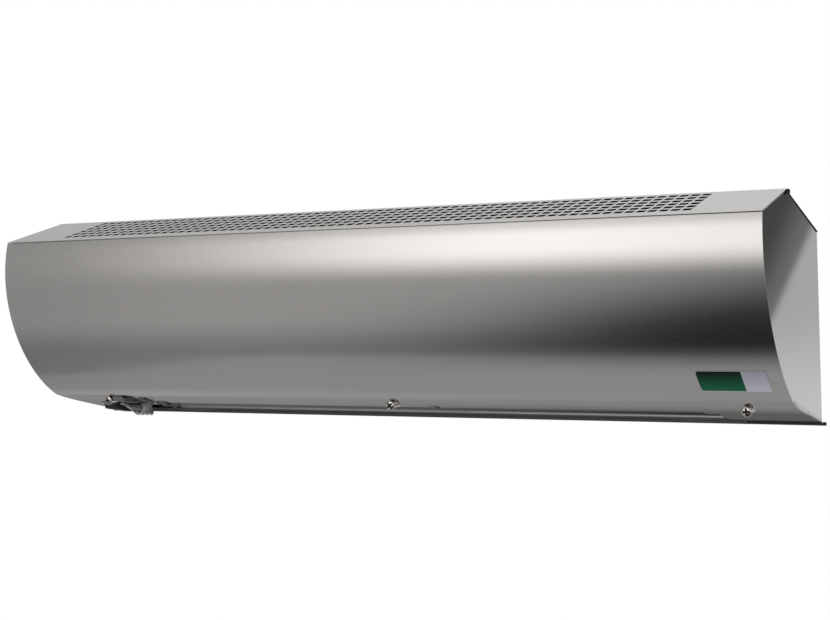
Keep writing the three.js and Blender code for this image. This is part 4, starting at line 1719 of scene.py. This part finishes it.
class Surroundings:
    """Nodes for the brightness of the studio round the part, by direction."""

    def __init__(self, tree: bpy.types.NodeTree) -> None:
        self.tree = tree
        place = add_node(tree, "ShaderNodeTexCoord")
        axes = add_node(tree, "ShaderNodeSeparateXYZ", {}, {0: place.outputs["Generated"]})
        self.x, self.y, self.z = (axes.outputs[k] for k in range(3))
        self.climb = self.join("ARCTAN2", self.z, self.join("MULTIPLY", self.y, -1.0))

    def join(self, operation: str, first: object, second: object) -> bpy.types.NodeSocket:
        """Joins two values with one arithmetic step.

        Args:
            operation: Name of the operation.
            first: Number or socket.
            second: Number or socket.

        Returns:
            The result's socket.
        """
        return add_node(self.tree, "ShaderNodeMath", {"operation": operation},
                        {0: first, 1: second}).outputs[0]

    def times(self, first: object, *others: object) -> object:
        """Multiplies values.

        Args:
            first: Number or socket.
            others: Further numbers or sockets.

        Returns:
            The product's socket.
        """
        for other in others:
            first = self.join("MULTIPLY", first, other)
        return first

    def ramp(self, value: bpy.types.NodeSocket, ramp: Ramp) -> bpy.types.NodeSocket:
        """Changes smoothly from one brightness to another.

        Args:
            value: Socket that drives the change.
            ramp: The change.

        Returns:
            The result's socket.
        """
        return add_node(self.tree, "ShaderNodeMapRange", {"interpolation_type": "SMOOTHSTEP"},
                        {"Value": value, "From Min": ramp.start, "From Max": ramp.end,
                         "To Min": ramp.low, "To Max": ramp.high}).outputs[0]

    def over_climb(self, ramp: Ramp) -> bpy.types.NodeSocket:
        """Changes smoothly over a range of climb.

        Args:
            ramp: The change, in degrees.

        Returns:
            The result's socket.
        """
        return self.ramp(self.climb, Ramp(math.radians(ramp.start), math.radians(ramp.end),
                                          ramp.low, ramp.high))

    def mixed(self, share: bpy.types.NodeSocket, first: object,
              second: object) -> bpy.types.NodeSocket:
        """Mixes two brightnesses.

        Args:
            share: Socket with the share of the second.
            first: Number or socket.
            second: Number or socket.

        Returns:
            The result's socket.
        """
        return add_node(self.tree, "ShaderNodeMix", {"data_type": "FLOAT"},
                        {"Factor": share, "A": first, "B": second}).outputs["Result"]

    def slanted(self, base: bpy.types.NodeSocket, slope: float) -> bpy.types.NodeSocket:
        """Adds a share of x to a measure, so that a boundary runs on a slant.

        Args:
            base: The measure's socket.
            slope: The share.

        Returns:
            The result's socket.
        """
        return self.join("ADD", base, self.join("MULTIPLY", self.x, slope))

    def front(self) -> bpy.types.NodeSocket:
        """Builds the room and the window before the part.

        Returns:
            The socket that holds their brightness.
        """
        lifted = self.join("ADD", self.climb, self.ramp(self.x, Tones.CORNER_LIFT))
        flag = self.times(self.ramp(self.slanted(self.climb, Tones.FLAG_SLOPE), Tones.FLAG),
                          self.over_climb(Tones.FLAG_CLIMB),
                          self.ramp(self.x, Tones.FLAG_EDGE))
        room = self.times(self.over_climb(Tones.ROOM_LOW), self.over_climb(Tones.ROOM_HIGH),
                          self.ramp(lifted, Tones.CORNER),
                          self.ramp(self.x, Tones.CORNER_EDGE),
                          self.join("SUBTRACT", 1.0, flag))
        window = self.times(self.over_climb(Tones.WINDOW_FOOT),
                            self.over_climb(Tones.WINDOW_HEAD),
                            self.ramp(self.x, Tones.WINDOW_LEFT),
                            self.ramp(self.x, Tones.WINDOW_RIGHT))
        return self.join("ADD", room, window)

    def rear(self) -> bpy.types.NodeSocket:
        """Builds what lies below, behind, beside and above the part.

        Returns:
            The socket that holds its brightness.
        """
        across = self.slanted(self.z, Tones.SIDE_SLOPE)
        side = self.mixed(self.ramp(across, Tones.SIDE_SPLIT),
                          self.ramp(self.z, Tones.SIDE_LIGHT),
                          self.ramp(across, Tones.SIDE_DARK))
        under = self.mixed(self.over_climb(Tones.UNDER_SHARE), Tones.UNDER,
                           self.ramp(self.x, Tones.SHADOW))
        rear = self.mixed(self.ramp(self.z, Tones.BEHIND_SHARE), under, Tones.BEHIND)
        rear = self.mixed(self.ramp(self.x, Tones.SIDE_SHARE), rear, side)
        return self.mixed(self.ramp(self.z, Tones.ABOVE_SHARE), rear,
                          self.ramp(self.x, Tones.ABOVE))

    def brightness(self) -> bpy.types.NodeSocket:
        """Builds the whole studio's brightness.

        Returns:
            The socket that holds it.
        """
        return self.mixed(self.ramp(self.y, Tones.REAR_SHARE), self.front(), self.rear())


@dataclass(frozen=True)
class SoftLight:
    """A soft square light.

    Attributes:
        name: Light name.
        place: Where it stands, in metres.
        target: What it points at.
        size: Side length, in metres.
        power: Power in watts.
    """

    name: str
    place: Triple
    target: Triple
    size: float
    power: float

    def build(self) -> None:
        """Adds the light to the scene, unseen in reflections."""
        data = bpy.data.lights.new(self.name, "AREA")
        data.size = self.size
        data.energy = self.power
        light = link(bpy.data.objects.new(self.name, data))
        light.location = self.place
        light.visible_glossy = False
        aim = Vector(self.target) - Vector(self.place)
        light.rotation_euler = aim.to_track_quat("-Z", "Y").to_euler()


class Studio:
    """White studio: shaded surroundings, a pale floor and two soft lights."""

    WHITE = (1.0, 1.0, 1.0, 1.0)
    LIGHTS = (
        SoftLight("Key light", (-0.9, -2.6, 1.5), (0.0, -0.1, 0.0), 1.6, 6.0),
        SoftLight("Low fill", (0.6, -1.6, -1.15), (0.1, -0.08, -0.08), 1.0, 2.0),
    )
    FLOOR_RADIUS = 9.0
    FLOOR_PLACE: Triple = (0.0, -0.2, -1.5)
    FLOOR_GREY: Point = (0.86, 0.9)
    FLOOR_MOTTLE = 6.0
    FLOOR_ROUGHNESS = 0.9

    def build(self) -> None:
        """Builds the surroundings, floor and lights."""
        bpy.context.scene.view_settings.view_transform = "Standard"
        self._world()
        self._floor()
        for light in self.LIGHTS:
            light.build()
        LOG.info("studio lit")

    def _world(self) -> None:
        """Builds white for the camera and shaded surroundings for the part."""
        world = bpy.data.worlds.new("Studio")
        bpy.context.scene.world = world
        world.use_nodes = True
        tree = world.node_tree
        tree.nodes.clear()
        light = Surroundings(tree).brightness()
        seen = add_node(tree, "ShaderNodeBackground", {},
                        {"Color": self.WHITE, "Strength": 1.0})
        lit = add_node(tree, "ShaderNodeBackground", {},
                       {"Color": self.WHITE, "Strength": light})
        path = add_node(tree, "ShaderNodeLightPath")
        mix = add_node(tree, "ShaderNodeMixShader", {},
                       {0: path.outputs["Is Camera Ray"], 1: lit.outputs[0],
                        2: seen.outputs[0]})
        add_node(tree, "ShaderNodeOutputWorld", {}, {"Surface": mix.outputs[0]})

    def _floor(self) -> None:
        """Lays the pale floor well below the hanging part."""
        bm = bmesh.new()
        bmesh.ops.create_circle(bm, cap_ends=True, segments=64, radius=self.FLOOR_RADIUS)
        floor = make_object("Floor", bm)
        floor.location = self.FLOOR_PLACE
        floor.visible_glossy = False
        material = bpy.data.materials.new("Studio floor, matt white paint")
        material.use_nodes = True
        tree = material.node_tree
        shader = tree.nodes["Principled BSDF"]
        noise = add_node(tree, "ShaderNodeTexNoise", {}, {"Scale": self.FLOOR_MOTTLE})
        tint = add_node(tree, "ShaderNodeMapRange", {},
                        {"Value": noise.outputs["Fac"], "To Min": self.FLOOR_GREY[0],
                         "To Max": self.FLOOR_GREY[1]})
        tree.links.new(tint.outputs["Result"], shader.inputs["Base Color"])
        shader.inputs["Roughness"].default_value = self.FLOOR_ROUGHNESS
        floor.data.materials.append(material)


def main() -> None:
    """Builds the whole scene."""
    logging.basicConfig(level=logging.INFO, format="%(name)s: %(message)s")
    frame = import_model()
    CameraSetup().build()
    finishes = Finishes()
    builder = Builder(Section(), finishes)
    screws = ScrewSizes()
    FrontCover(builder, CoverSizes(), screws).build()
    IntakePanel(builder, PanelSizes()).build()
    for side in (-1, 1):
        EndPanel(builder, EndSizes(), side).build()
    CoverScrews(builder, screws).build()
    OutletEnd(builder).build()
    SupplyLeads(builder, LeadSizes()).build()
    FrontLabel(builder, LabelSizes()).build()
    CarriedNodes(frame, finishes).dress()
    Studio().build()


if __name__ == "__main__":
    main()
